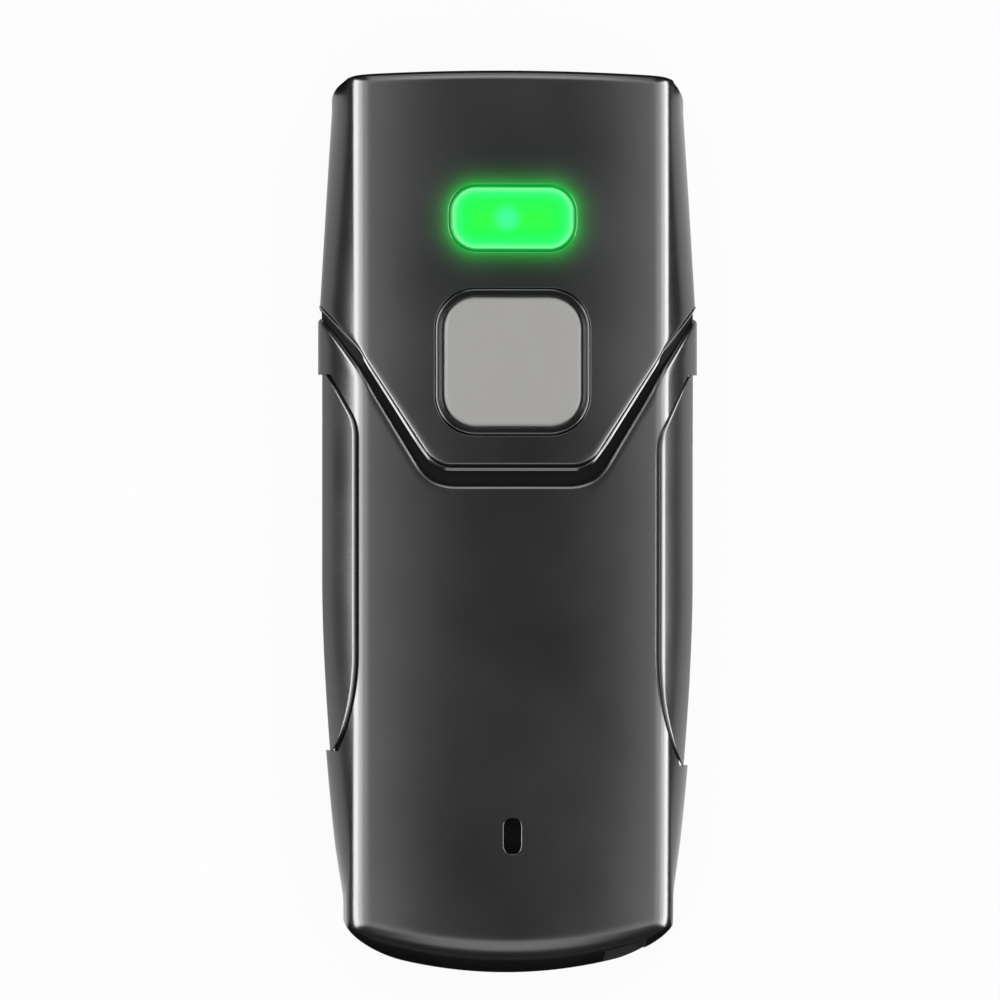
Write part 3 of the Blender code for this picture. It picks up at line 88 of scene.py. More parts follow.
def linked(name, data):
    """A new object with its data, linked to the scene."""
    made = bpy.data.objects.new(name, data)
    bpy.context.scene.collection.objects.link(made)
    return made


camera_data = bpy.data.cameras.new("camera")
camera_data.sensor_width = SENSOR_WIDTH
camera_data.lens = FOCAL_LENGTH
camera = linked("camera", camera_data)
view_from = Vector((-math.sin(VIEW_TILT), 0.0, math.cos(VIEW_TILT)))
camera.location = IMAGE_MIDDLE + view_from * VIEW_DISTANCE
camera.rotation_euler = (0.0, -VIEW_TILT, 0.0)
bpy.context.scene.camera = camera
bpy.context.scene.view_settings.view_transform = "Standard"
print("camera stands at", tuple(round(c, 3) for c in camera.location))

# %% [markdown]
# ## Shader helpers
# Every finish here is a Principled shader whose colour, roughness and bump come from a few noise textures
# on Object coordinates. The noise is built once as a node group with named sockets, and each finish places
# it with its own scale. Object coordinates are in metres here, so a grain of 0.1 mm has a scale of about
# ten thousand.

# %% Node helpers and the grain group
def feed(node, values):
    """Fills a node's sockets, by name or number: a socket of another node is wired, and a value is set."""
    for key, value in values.items():
        if isinstance(value, bpy.types.NodeSocket):
            node.id_data.links.new(value, node.inputs[key])
        else:
            node.inputs[key].default_value = value
    return node


def add_node(tree, kind, values=None, **settings):
    """A new node with settings on the node itself and values fed to its sockets."""
    made = tree.nodes.new(kind)
    for key, value in settings.items():
        setattr(made, key, value)
    return feed(made, values or {})


def calculate(tree, operation, *sources, **settings):
    """The result of a math node on sockets and numbers."""
    made = add_node(tree, "ShaderNodeMath", dict(enumerate(sources)), operation=operation, **settings)
    return made.outputs[0]


def new_group(name, inputs, outputs):
    """A shader node group with float inputs of given defaults and float outputs, and its input sockets."""
    tree = bpy.data.node_groups.new(name, "ShaderNodeTree")
    for label, value in inputs.items():
        socket = tree.interface.new_socket(label, in_out="INPUT", socket_type="NodeSocketFloat")
        socket.default_value = value
    for label in outputs:
        tree.interface.new_socket(label, in_out="OUTPUT", socket_type="NodeSocketFloat")
    return tree, add_node(tree, "NodeGroupInput").outputs


def grain_group():
    """Fine moulded grain: small noise for the bump, slow noise for sheen, and both mixed for the shade."""
    inputs = {"Scale": 6000.0, "Slow Scale": 70.0, "Low": 0.3, "High": 0.4}
    tree, given = new_group("moulded_grain", inputs, ("Height", "Roughness", "Shade"))
    place = add_node(tree, "ShaderNodeTexCoord").outputs["Object"]
    noises = []
    for scale, detail, roughness in (("Scale", 3.0, 0.6), ("Slow Scale", 2.0, 0.5)):
        values = {"Vector": place, "Scale": given[scale], "Detail": detail, "Roughness": roughness}
        noises.append(add_node(tree, "ShaderNodeTexNoise", values).outputs["Fac"])
    fine, slow = noises
    sheen = add_node(tree, "ShaderNodeMapRange", {
        "Value": slow, "From Min": 0.3, "From Max": 0.7, "To Min": given["Low"], "To Max": given["High"]})
    shade = calculate(tree, "MULTIPLY", calculate(tree, "ADD", fine, slow), 0.5)
    add_node(tree, "NodeGroupOutput", {
        "Height": fine, "Roughness": sheen.outputs["Result"], "Shade": shade})
    return tree


GRAIN = grain_group()
print("node group:", GRAIN.name)

# %% [markdown]
# ## Finishes
# A finish is two close colours that the grain mixes, a span of roughness, and a grain size and depth. The
# table holds one line for each material slot of the record, and one near-black line with almost no
# reflection that paints the shade of the seam's channel and the sound slot, so a plastic, a foil and a
# foam differ only in their numbers. A finish that needs more, such as the lit lens, starts from its line
# and adds nodes.

# %% Finishes
@dataclass
class Finish:
    """Dark and light colour, low and high roughness, metal, grain scale per metre, bump depth and specular
    level."""

    dark: tuple
    light: tuple
    low: float
    high: float
    metal: float = 0.0
    scale: float = 9000.0
    depth: float = 0.004 * MM
    specular: float = 0.5


FINISHES = {
    "satin_black_plastic": Finish((0.005, 0.005, 0.006), (0.010, 0.010, 0.011), 0.20, 0.25),
    "gloss_black_plastic": Finish((0.005, 0.005, 0.006), (0.010, 0.010, 0.011), 0.08, 0.14, 0.0, 3000.0),
    "grip_plastic": Finish((0.008, 0.008, 0.009), (0.014, 0.014, 0.015), 0.24, 0.30, 0.0, 7000.0),
    # painted shade: near black and almost without reflection, so the seam's channel and the sound slot read
    # as shaded
    "painted_shade_black": Finish((0.003, 0.003, 0.003), (0.006, 0.006, 0.006), 0.45, 0.60, specular=0.02),
    "grey_button_plastic": Finish((0.285, 0.280, 0.268), (0.320, 0.315, 0.302), 0.56, 0.64, specular=0.2),
    "green_lens_plastic": Finish(
        (0.001, 0.10, 0.01), (0.002, 0.14, 0.02), 0.30, 0.40, 0.0, 900.0, specular=0.1),
    "clear_plastic": Finish((0.74, 0.80, 0.77), (0.82, 0.87, 0.84), 0.08, 0.16, 0.0, 900.0),
    "window_plastic": Finish((0.020, 0.005, 0.006), (0.034, 0.010, 0.012), 0.03, 0.07, 0.0, 500.0),
    "black_foam": Finish((0.010, 0.010, 0.010), (0.030, 0.030, 0.030), 0.82, 0.96, 0.0, 3500.0, 0.06 * MM),
    "board_laminate": Finish((0.010, 0.11, 0.04), (0.03, 0.20, 0.08), 0.38, 0.50, 0.0, 1500.0),
    "chip_plastic": Finish((0.014, 0.014, 0.016), (0.030, 0.030, 0.032), 0.48, 0.62, 0.0, 6000.0),
    "pale_plastic": Finish((0.66, 0.64, 0.59), (0.80, 0.78, 0.73), 0.44, 0.56, 0.0, 5000.0),
    "bright_steel": Finish((0.52, 0.52, 0.54), (0.70, 0.70, 0.72), 0.20, 0.32, 1.0, 2500.0, 0.002 * MM),
    "black_steel": Finish((0.035, 0.035, 0.038), (0.065, 0.065, 0.07), 0.28, 0.42, 1.0, 4000.0),
    "foil": Finish((0.62, 0.63, 0.65), (0.76, 0.77, 0.79), 0.22, 0.40, 1.0, 700.0, 0.03 * MM),
    "polyimide": Finish((0.44, 0.18, 0.02), (0.64, 0.31, 0.06), 0.30, 0.42, 0.0, 1200.0),
    "red_wire": Finish((0.42, 0.012, 0.012), (0.62, 0.03, 0.03), 0.40, 0.52, 0.0, 3000.0),
    "black_wire": Finish((0.012, 0.012, 0.012), (0.028, 0.028, 0.028), 0.40, 0.52, 0.0, 3000.0),
    "optic_glass": Finish((0.035, 0.028, 0.06), (0.065, 0.052, 0.10), 0.03, 0.07, 0.0, 500.0),
}


@functools.cache
def finish(slot):
    """A material for a slot: the grain mixes the two colours, spans the roughness and lifts the bump."""
    line = FINISHES[slot]
    made = bpy.data.materials.new(slot + "_finish")
    made.use_nodes = True
    tree = made.node_tree
    values = {"Scale": line.scale, "Low": line.low, "High": line.high}
    grain = add_node(tree, "ShaderNodeGroup", values, node_tree=GRAIN).outputs
    tone = add_node(tree, "ShaderNodeMix", {
        "Factor": grain["Shade"], "A": (*line.dark, 1.0), "B": (*line.light, 1.0)}, data_type="RGBA")
    bump = add_node(tree, "ShaderNodeBump", {
        "Height": grain["Height"], "Strength": 1.0, "Distance": line.depth})
    feed(tree.nodes["Principled BSDF"], {
        "Base Color": tone.outputs["Result"], "Roughness": grain["Roughness"], "Metallic": line.metal,
        "Specular IOR Level": line.specular, "Normal": bump.outputs["Normal"]})
    return made


print("finishes:", len(FINISHES))

# %% [markdown]
# ## Stage and light
# A product photograph of black plastic is a photograph of its lights. Panels stand on an arch over the
# scanner. The low ones are bright and draw the lines along its edges, the high ones are weaker and shade
# its crown, and the gap at the top of the arch keeps its middle dark. These panels only show as
# reflections. One large panel overhead gives the plain light that all colours are seen by.
#
# The floor shows as white to the camera and to reflections, and a share of it stays plain diffuse paint,
# so that the scanner's shadow still falls on it. Dark cards lie on it round the scanner. They show only as
# reflections too, and put the dark line under each edge, as a photographer's flags do.

# %% Floor, cards, world and panels
FLOOR_HALF = 3.0
FLOOR_DROP = 0.05 * MM
FLOOR_COLOUR = (0.92, 0.92, 0.92, 1.0)
FLOOR_PAINT_SHARE = 0.08
WHITE = (1.0, 1.0, 1.0, 1.0)
WORLD_GREY = 0.12
SQUARE = np.array([(-1, -1), (1, -1), (1, 1), (-1, 1)])
CARD_INNER = (58 * MM, 50 * MM)
CARD_OUTER = (0.5, 0.5)
CARD_HEIGHT = 0.5 * MM
CARD_COLOUR = (0.004, 0.004, 0.004, 1.0)
ARCH_RADIUS = 0.6
ARCH_CENTRE = Vector((0.0, 0.0, 20 * MM))
SIDE_PANELS = ((15, 24, 3.0), (24, 46, 4.2), (46, 66, 9.0), (66, 94, 16.0))
SIDE_LENGTH = 0.8
NOSE_PANELS = ((30, 62, 5.0), (62, 100, 2.2))
TAIL_PANELS = ((30, 62, 2.8),)
END_LENGTH = 0.3
FILL_SIZE = 1.6
FILL_HEIGHT = 1.2
FILL_RADIANCE = 1.8


def flat_piece(name, plan, height, faces):
    """A flat piece of the stage at a height, and the node tree of its material."""
    points = np.concatenate([plan, np.full((len(plan), 1), height)], axis=1)
    mesh = bpy.data.meshes.new(name)
    mesh.from_pydata(points.tolist(), [], faces)
    paint = bpy.data.materials.new(name + "_paint")
    paint.use_nodes = True
    mesh.materials.append(paint)
    return linked(name, mesh), paint.node_tree


def white_floor():
    """A square floor: white light for camera, glossy and transmission rays, mixed with diffuse paint."""
    floor, tree = flat_piece("floor", SQUARE * FLOOR_HALF, -FLOOR_DROP, [(0, 1, 2, 3)])
    tree.nodes.clear()
    rays = add_node(tree, "ShaderNodeLightPath").outputs
    seen = calculate(tree, "MAXIMUM", rays["Is Camera Ray"], rays["Is Glossy Ray"])
    seen = calculate(tree, "MAXIMUM", seen, rays["Is Transmission Ray"])
    share = calculate(tree, "MULTIPLY", seen, 1.0 - FLOOR_PAINT_SHARE)
    diffuse = add_node(tree, "ShaderNodeBsdfDiffuse", {"Color": FLOOR_COLOUR})
    glow = add_node(tree, "ShaderNodeEmission", {"Color": WHITE, "Strength": 1.0})
    mix = add_node(tree, "ShaderNodeMixShader", {
        "Fac": share, 1: diffuse.outputs[0], 2: glow.outputs[0]})
    add_node(tree, "ShaderNodeOutputMaterial", {"Surface": mix.outputs[0]})
    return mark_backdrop(floor)


def dark_cards():
    """A flat dark frame on the floor that only reflections see: an inner and an outer rectangle, joined."""
    plan = np.concatenate([SQUARE * CARD_INNER, SQUARE * CARD_OUTER])
    inner = np.arange(len(SQUARE))
    ahead = np.roll(inner, -1)
    faces = np.stack([inner, inner + len(SQUARE), ahead + len(SQUARE), ahead], axis=1)
    cards, tree = flat_piece("dark_cards", plan, CARD_HEIGHT, faces.tolist())
    feed(tree.nodes["Principled BSDF"], {
        "Base Color": CARD_COLOUR, "Roughness": 1.0, "Specular IOR Level": 0.0})
    cards.visible_camera = False
    cards.visible_diffuse = False
    cards.visible_transmission = False
    cards.visible_shadow = False
    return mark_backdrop(cards)


def panel(name, place, size, radiance):
    """A rectangle of light that faces down its own Z. Its power is four times its radiance times its
    area."""
    data = bpy.data.lights.new(name, "AREA")
    data.shape = "RECTANGLE"
    data.size, data.size_y = size
    data.energy = 4 * radiance * size[0] * size[1]
    lamp = linked(name, data)
    lamp.matrix_world = Matrix.Translation(ARCH_CENTRE) @ place
    lamp.visible_camera = False
    return lamp


def arch_panel(name, turn, start, stop, length, radiance):
    """A panel of the arch, seen only in reflections. It spans start to stop degrees off the vertical, and
    the arch is turned about the vertical, then tilted against the camera."""
    middle, half = math.radians((start + stop) / 2), math.radians((stop - start) / 2)
    place = (Matrix.Rotation(VIEW_TILT, 4, "Y") @ Matrix.Rotation(turn, 4, "Z")
             @ Matrix.Rotation(middle, 4, "Y") @ Matrix.Translation((0.0, 0.0, ARCH_RADIUS)))
    lamp = panel(name, place, (2 * ARCH_RADIUS * math.tan(half), length), radiance)
    lamp.visible_diffuse = False


white_floor()
dark_cards()
for side_name, turn, panels, length in (
        ("right", 0.0, SIDE_PANELS, SIDE_LENGTH), ("left", math.pi, SIDE_PANELS, SIDE_LENGTH),
        ("nose", math.pi / 2, NOSE_PANELS, END_LENGTH), ("tail", -math.pi / 2, TAIL_PANELS, END_LENGTH)):
    for start, stop, radiance in panels:
        arch_panel(f"{side_name}_panel_{start}", turn, start, stop, length, radiance)
fill = panel("fill", Matrix.Translation((0.0, 0.0, FILL_HEIGHT)), (FILL_SIZE, FILL_SIZE), FILL_RADIANCE)
fill.visible_glossy = False
world = bpy.data.worlds.new("studio")
world.use_nodes = True
sky = world.node_tree.nodes["Background"]
sky.inputs["Color"].default_value = (WORLD_GREY, WORLD_GREY, WORLD_GREY, 1.0)
bpy.context.scene.world = world
print("lamps:", len(bpy.data.lights))

# %% [markdown]
# ## From arrays to meshes
# A piece here is a grid of points, worked out all at once, and a rule that joins neighbours into quads.
# Points that fall on each other, as at the tip of a wedge, are merged, and the faces are then turned
# outwards. Boolean modifiers cut the openings, because an opening with a round lip is easier to state as
# a flared tool than as a hole in a grid.

# %% Mesh helpers
MERGE = 0.0004 * MM
SHARP_ANGLE = math.radians(34)


def grid_quads(rows, columns, wrap=False):
    """Corner numbers of a grid's quads, where point (r, c) is number r * columns + c."""
    corner = np.arange(rows * columns).reshape(rows, columns)
    if wrap:
        corner = np.concatenate([corner, corner[:, :1]], axis=1)
    quads = [corner[:-1, :-1], corner[:-1, 1:], corner[1:, 1:], corner[1:, :-1]]
    return np.stack(quads, axis=-1).reshape(-1, 4)


def shaded(piece):
    """Smooth shading, kept sharp where faces meet at more than the sharp angle."""
    piece.data.shade_smooth()
    piece.data.set_sharp_from_angle(angle=SHARP_ANGLE)
    return piece


def mesh_object(name, points, quads):
    """An object from points and the corner numbers of its quads, with doubles merged and faces out."""
    mesh = bpy.data.meshes.new(name)
    points = np.asarray(points, np.float32).reshape(-1, 3)
    mesh.vertices.add(len(points))
    mesh.vertices.foreach_set("co", points.ravel())
    mesh.loops.add(quads.size)
    mesh.loops.foreach_set("vertex_index", quads.astype(np.int32).ravel())
    mesh.polygons.add(len(quads))
    mesh.polygons.foreach_set("loop_start", np.arange(0, quads.size, 4, dtype=np.int32))
    mesh.update(calc_edges=True)
    shape = bmesh.new()
    shape.from_mesh(mesh)
    bmesh.ops.remove_doubles(shape, verts=shape.verts, dist=MERGE)
    bmesh.ops.dissolve_degenerate(shape, edges=shape.edges, dist=MERGE)
    bmesh.ops.recalc_face_normals(shape, faces=shape.faces)
    if shape.calc_volume(signed=True) < 0:
        bmesh.ops.reverse_faces(shape, faces=shape.faces)
    shape.to_mesh(mesh)
    shape.free()
    return shaded(linked(name, mesh))


def loft(name, loops):
    """A closed solid through loops of points, each end drawn in to the middle of its loop."""
    ends = loops[[0, -1]].mean(axis=1, keepdims=True) + np.zeros_like(loops[[0, -1]])
    rows = np.concatenate([ends[:1], loops, ends[1:]])
    return mesh_object(name, rows, grid_quads(*rows.shape[:2], wrap=True))


def rim_of(grid):
    """The points of a grid's four edges, once round."""
    return np.concatenate([grid[0, :-1], grid[:-1, -1], grid[-1, :0:-1], grid[:0:-1, 0]])


def closed_shell(name, outer, inner):
    """A wall: an outer and an inner face on equal grids, and a band between their rims."""
    band = np.stack([rim_of(outer), rim_of(inner)])
    points = np.concatenate([part.reshape(-1, 3) for part in (outer, inner, band)])
    face = grid_quads(*outer.shape[:2])
    count = outer.shape[0] * outer.shape[1]
    edge = grid_quads(*band.shape[:2], wrap=True)
    return mesh_object(name, points, np.concatenate([face, face + count, edge + 2 * count]))


def carve(target, tool, operation="DIFFERENCE"):
    """Applies one Boolean to the target and removes the tool."""
    modifier = target.modifiers.new("carve", "BOOLEAN")
    modifier.operation = operation
    modifier.solver = "MANIFOLD"
    modifier.object = tool
    graph = bpy.context.evaluated_depsgraph_get()
    result = bpy.data.meshes.new_from_object(target.evaluated_get(graph))
    target.modifiers.clear()
    target.data = result
    bpy.data.objects.remove(tool)
    return shaded(target)


def dress(piece, slot, body, *nodes, material=None):
    """Gives a piece its finish, its body and the nodes it stands for."""
    piece.data.materials.clear()
    piece.data.materials.append(material or finish(slot))
    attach(piece, body)
    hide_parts(*nodes)
    print(piece.name, "has", len(piece.data.polygons), "faces")
    return piece


# %% [markdown]
# ## The shape of the case
# Both covers and the bottom shell are bowls. Across a bowl, the face starts at the rim, goes up a short
# upright land, leans in along a bulged wall, turns round an edge and ends on a slightly crowned top. Along
# the bowl, the plan narrows, rounds its corners and bows at the ends. So a bowl is one function of two
# parameters: a number that counts the stretches of the section, and the distance along the case.

# %% Sizes of the case
nose_low, nose_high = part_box("nose_cover")
body_low, body_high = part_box("body_cover")
HALF = body_high.x
NOSE_Y = nose_high.y
TAIL_Y = body_low.y
HEIGHT = nose_high.z
COVER_BASE = body_low.z
GAP = 0.3 * MM
BOND = 0.12 * MM
WALL = 2.0 * MM
SHELL_BASE = COVER_BASE - GAP
RIM_ROUND = 0.25 * MM
ARCH_PEAK = NOSE_Y - 39.0 * MM
BOW_REACH = 14.0 * MM
EDGE_RADIUS = 2.6 * MM
EDGE_INSET = 5.5 * MM
CROWN = 0.9 * MM
ARCH = 1.2 * MM
LAND = 1.0 * MM
WALL_BULGE = math.radians(12)


@dataclass
class End:
    """An end of a bowl: its tip, its facing, its plan corner and bow, and the shape of its wall."""

    tip: float
    facing: int
    corner_run: float
    corner_depth: float
    bow: float
    run: float
    radius: float
    bulge: float = 0.0


@dataclass
class Bowl:
    """A case half. up is 1 for a cover and -1 for the bottom shell, and half gives its half width."""

    base: float
    up: int
    rise: float
    land: float
    crown: float
    arch: float
    edge_x: float
    radius: float
    bulge: float
    half: object
    nose: End
    tail: End


def head_half(y):
    """Half width of the nose cover: a straight flare from the nose back to the shoulder."""
    front, rear = NOSE_Y - 3.8 * MM, NOSE_Y - 25.5 * MM
    tuck_rear, tuck_front = 0.2 * MM, 1.5 * MM
    part = np.clip((y - rear) / (front - rear), 0.0, 1.0)
    return HALF - tuck_rear + (tuck_rear - tuck_front) * part


def tapered(y, wide, tuck):
    """A half width that stays wide, then draws in along a power curve to the tail's corners."""
    start, corner, power = TAIL_Y + 42.5 * MM, TAIL_Y + 6.4 * MM, 1.7
    return wide - tuck * np.clip((start - y) / (start - corner), 0.0, 1.0) ** power


TAIL_TUCK = 2.75 * MM
SHELL_TUCK = 1.3 * MM
SHELL_END_TUCK = 0.6 * MM


def body_half(y):
    """Half width of the body cover."""
    return tapered(y, HALF, TAIL_TUCK)


def shell_half(y):
    """Half width of the bottom shell, which hides under both covers."""
    wide = tapered(y, HALF - SHELL_TUCK, TAIL_TUCK + SHELL_END_TUCK - SHELL_TUCK)
    return np.minimum(wide, head_half(y) - SHELL_END_TUCK)


def cover_bowl(half):
    """The bowl of a cover with a given plan."""
    nose = End(tip=NOSE_Y, facing=1, corner_run=3.2 * MM, corner_depth=2.5 * MM, bow=0.6 * MM,
               run=1.15 * MM, radius=1.05 * MM)
    tail = End(tip=TAIL_Y, facing=-1, corner_run=7.0 * MM, corner_depth=3.4 * MM, bow=3.3 * MM,
               run=4.5 * MM, radius=3.9 * MM, bulge=math.radians(24))
    return Bowl(base=COVER_BASE, up=1, rise=HEIGHT - COVER_BASE, land=LAND, crown=CROWN, arch=ARCH,
                edge_x=HALF - EDGE_INSET, radius=EDGE_RADIUS, bulge=WALL_BULGE, half=half, nose=nose,
                tail=tail)


HEAD = cover_bowl(head_half)
BODY = cover_bowl(body_half)
SHELL = Bowl(
    base=SHELL_BASE, up=-1, rise=SHELL_BASE, land=0.8 * MM, crown=0.0, arch=0.0, edge_x=HALF - 8.2 * MM,
    radius=5.0 * MM, bulge=0.0, half=shell_half,
    nose=replace(HEAD.nose, tip=NOSE_Y - SHELL_END_TUCK, corner_depth=3.2 * MM, run=6.6 * MM,
                 radius=3.5 * MM),
    tail=replace(HEAD.tail, tip=TAIL_Y + SHELL_END_TUCK, run=7.0 * MM, radius=5.0 * MM, bulge=0.0))


def inset(bowl, depth):
    """The bowl a depth inside another, on the same parting plane."""
    def shrink(end):
        return replace(end, tip=end.tip - end.facing * depth, radius=max(end.radius - depth, GAP))
    outer_half = bowl.half
    return replace(bowl, rise=bowl.rise - depth, radius=bowl.radius - depth,
                   half=lambda y: outer_half(y) - depth, nose=shrink(bowl.nose), tail=shrink(bowl.tail))


print("case half width, nose and tail in mm:", [round(v / MM, 2) for v in (HALF, NOSE_Y, TAIL_Y)])

# %% The bowl as a function of two parameters
RIM_STEPS = 4
WALL_STEPS = 9
EDGE_STEPS = 12
CROWN_STEPS = 44
LAND_PART = -0.5
NO_CAP = 1.0


def columns():
    """Side and stretch of each column: -1 to 0 is the rim with its land, then the wall, the edge and the
    crown to 3."""
    steps = ((-1, RIM_STEPS), (0, WALL_STEPS), (1, EDGE_STEPS), (2, CROWN_STEPS))
    right = np.concatenate([start + np.arange(count) / count for start, count in steps])
    part = np.concatenate([right, [3.0], right[::-1]])
    return np.where(np.arange(len(part)) <= len(right), 1.0, -1.0), part


SIDE, PART = columns()


def edge_curve(run, rise, radius, land, start, bulge, part):
    """(inset, height) up a wall and round its edge. Part 0 to 1 is a quadratic Bezier from the land, 1 to
    2 an arc. The wall's slope meets the arc without a kink, and the bulge makes it start steeper."""
    up = rise - radius - land
    slope = np.arctan2(up, run) + np.arcsin(radius / np.hypot(up, run))
    slope = slope - np.minimum(bulge, np.maximum(0.0, np.pi / 2 - slope))
    joint_x, joint_h = run - radius * np.sin(slope), rise - radius + radius * np.cos(slope)
    reach = np.hypot(joint_x, joint_h - land) / 2
    middle_x, middle_h = joint_x - np.cos(slope) * reach, joint_h - np.sin(slope) * reach
    t = np.clip(part, 0.0, 1.0)
    wall_x = 2 * t * (1 - t) * middle_x + t * t * joint_x
    wall_h = (1 - t) ** 2 * land + 2 * t * (1 - t) * middle_h + t * t * joint_h
    turn = slope + (start - slope) * np.clip(part - 1, 0.0, 1.0)
    round_x, round_h = run - radius * np.sin(turn), rise - radius + radius * np.cos(turn)
    return np.where(part > 1, round_x, wall_x), np.where(part > 1, round_h, wall_h)


def plan_half(bowl, y):
    """Half width with both ends' plan corners, each a quarter of an ellipse."""
    half = bowl.half(y)
    for end in (bowl.nose, bowl.tail):
        left = np.clip(1 - (end.tip - y) * end.facing / end.corner_depth, 0.0, 1.0)
        half = half - end.corner_run * (1 - np.sqrt(1 - left ** 2))
    return half


def top_rise(bowl, y):
    """Height of the crown's middle line over the parting plane: a parabola along the case."""
    return bowl.rise - bowl.arch * ((y - ARCH_PEAK) / (ARCH_PEAK - TAIL_Y)) ** 2


def crown_edge(bowl, y, half):
    """Where the edge arc is centred, the slope where it meets the crown, and the arc's top height."""
    edge_x = np.minimum(bowl.edge_x, half - bowl.radius)
    start = np.arctan2(2 * bowl.crown, edge_x)
    return edge_x, start, top_rise(bowl, y) - bowl.crown + bowl.radius * (1 - np.cos(start))


def crown_height(bowl, x, y):
    """Height of a bowl's top over a place near its middle: the arc's end plus a parabola across."""
    edge_x, start, rise = crown_edge(bowl, y, plan_half(bowl, y))
    last_x = edge_x + bowl.radius * np.sin(start)
    last_h = rise - bowl.radius * (1 - np.cos(start))
    return bowl.base + bowl.up * (last_h + bowl.crown * (1 - (x / last_x) ** 2))


def bowed(bowl, x, y):
    """y after both ends' bows, each a parabola across the case that fades away from its end."""
    for end in (bowl.nose, bowl.tail):
        fade = np.maximum(0.0, 1 - np.abs(end.tip - y) / BOW_REACH)
        y = y - end.facing * end.bow * fade * (x / bowl.half(end.tip)) ** 2
    return y


def bowl_points(bowl, y, side=SIDE, part=PART, share=1.0, cap=NO_CAP):
    """Points of a bowl's face. Share squeezes what is above the land. Cap cuts off what is higher, and
    keeps the row as narrow as the rim is at that height."""
    half = plan_half(bowl, y)
    edge_x, start, rise = crown_edge(bowl, y, half)
    sunk, height = edge_curve(half - edge_x, rise, bowl.radius, bowl.land, start, bowl.bulge, part)
    turn = np.clip(part + 1, 0.0, LAND_PART + 1) * np.pi
    rim_h = np.where(part < LAND_PART, RIM_ROUND * (1 - np.cos(turn)),
                     RIM_ROUND + (bowl.land - RIM_ROUND) * (1 - part / LAND_PART))
    last_x = edge_x + bowl.radius * np.sin(start)
    last_h = rise - bowl.radius * (1 - np.cos(start))
    left = np.clip(3 - part, 0.0, 1.0)
    x = np.where(part < 0, half - RIM_ROUND * (1 - np.sin(turn)), half - sunk)
    x = np.where(part > 2, last_x * left, x)
    cap_turn = np.arccos(1 - np.clip(cap / RIM_ROUND, 0.0, 1.0))
    x = np.minimum(x, half - RIM_ROUND * (1 - np.sin(cap_turn)))
    height = np.where(part < 0, rim_h, height)
    height = np.where(part > 2, last_h + bowl.crown * (1 - left ** 2), height)
    height = np.where(height > bowl.land, bowl.land + (height - bowl.land) * share, height)
    height = np.minimum(height, cap)
    x, y, height = np.broadcast_arrays(side * x, y, height)
    return np.stack([x, bowed(bowl, x, y), bowl.base + bowl.up * height], axis=-1)


LAND_ROWS = 3
END_ROWS = 18
CORNER_ROWS = 6


def end_rows(bowl, end):
    """y, share and cap of the rows from an end's tip: its rim, land and wall, then its plan corner."""
    turn = np.linspace(0.0, np.pi / 2, RIM_STEPS + 1)
    land = np.linspace(RIM_ROUND, bowl.land, LAND_ROWS + 1)[1:]
    rise = top_rise(bowl, end.tip)
    part = np.linspace(0.0, 2.0, END_ROWS + 1)[1:]
    sunk, height = edge_curve(end.run, rise, end.radius, bowl.land, 0.0, end.bulge, part)
    more = np.linspace(sunk[-1], max(end.corner_depth, sunk[-1] + LAND), CORNER_ROWS + 1)[1:]
    low_sunk = np.concatenate([RIM_ROUND * (1 - np.sin(turn)), np.zeros(LAND_ROWS)])
    low_cap = np.concatenate([RIM_ROUND * (1 - np.cos(turn)), land])
    y = end.tip - end.facing * np.concatenate([low_sunk, sunk, more])
    share = np.concatenate([0 * low_cap, (height - bowl.land) / (rise - bowl.land), 1 + 0 * more])
    cap = np.concatenate([low_cap, NO_CAP + 0 * height, NO_CAP + 0 * more])
    return y, share, cap


print("columns across a bowl:", len(PART))

# %% [markdown]
# ## The V-shaped seam
# Seen from above, the seam between the covers is flat in the middle, turns a corner of a few millimetres
# radius and climbs to the shoulders. It is written as a function of the distance from the middle. Each
# column of a cover then ends where it meets the seam, which a few rounds of substitution find, and the
# last rows roll over the edge so that it catches the light.

# %% Seam lines and rolled edges
SEAM_Y = NOSE_Y - 42.8 * MM
SEAM_CORNER_HALF = 8.44 * MM
SEAM_ANGLE = math.radians(57)
SEAM_BEND_X = HALF - 4.2 * MM
SEAM_NOSE_SIDE_ANGLE = math.radians(48)
SEAM_BODY_SIDE_ANGLE = math.radians(53)
SEAM_FLAT_WIDTH = 2.1 * MM
SEAM_SIDE_WIDTH = 1.55 * MM
SEAM_NOSE_RADIUS = 3.2 * MM
SEAM_BODY_RADIUS = 5.0 * MM
CLOSING_X = (9.0 * MM, 20.0 * MM)
CLOSING = 1.35 * MM
CROSSING_ROUNDS = 8
ROLL_STEPS = 6
TINY = 1e-12


def seam_line(flat_drop, side_drop, side_angle, radius):
    """The seam as y over |x|: a flat, an arc, a slope and a slightly flatter slope past the bend."""
    flat_y = SEAM_Y - flat_drop
    corner_x = SEAM_CORNER_HALF + (side_drop / math.cos(SEAM_ANGLE) - flat_drop) / math.tan(SEAM_ANGLE)
    arc_x = corner_x - radius * math.tan(SEAM_ANGLE / 2)
    arc_end = arc_x + radius * math.sin(SEAM_ANGLE)
    bend_y = flat_y + (SEAM_BEND_X - corner_x) * math.tan(SEAM_ANGLE)

    def line(x):
        over = np.clip(x - arc_x, 0.0, arc_end - arc_x)
        y = flat_y + radius - np.sqrt(radius ** 2 - over ** 2)
        y = np.where(x > arc_end, flat_y + (x - corner_x) * math.tan(SEAM_ANGLE), y)
        return np.where(x > SEAM_BEND_X, bend_y + (x - SEAM_BEND_X) * math.tan(side_angle), y)
    return line


def nose_seam(drop=0.0):
    """The nose cover's edge, moved back by a drop."""
    return seam_line(drop, drop, SEAM_NOSE_SIDE_ANGLE, SEAM_NOSE_RADIUS + drop)


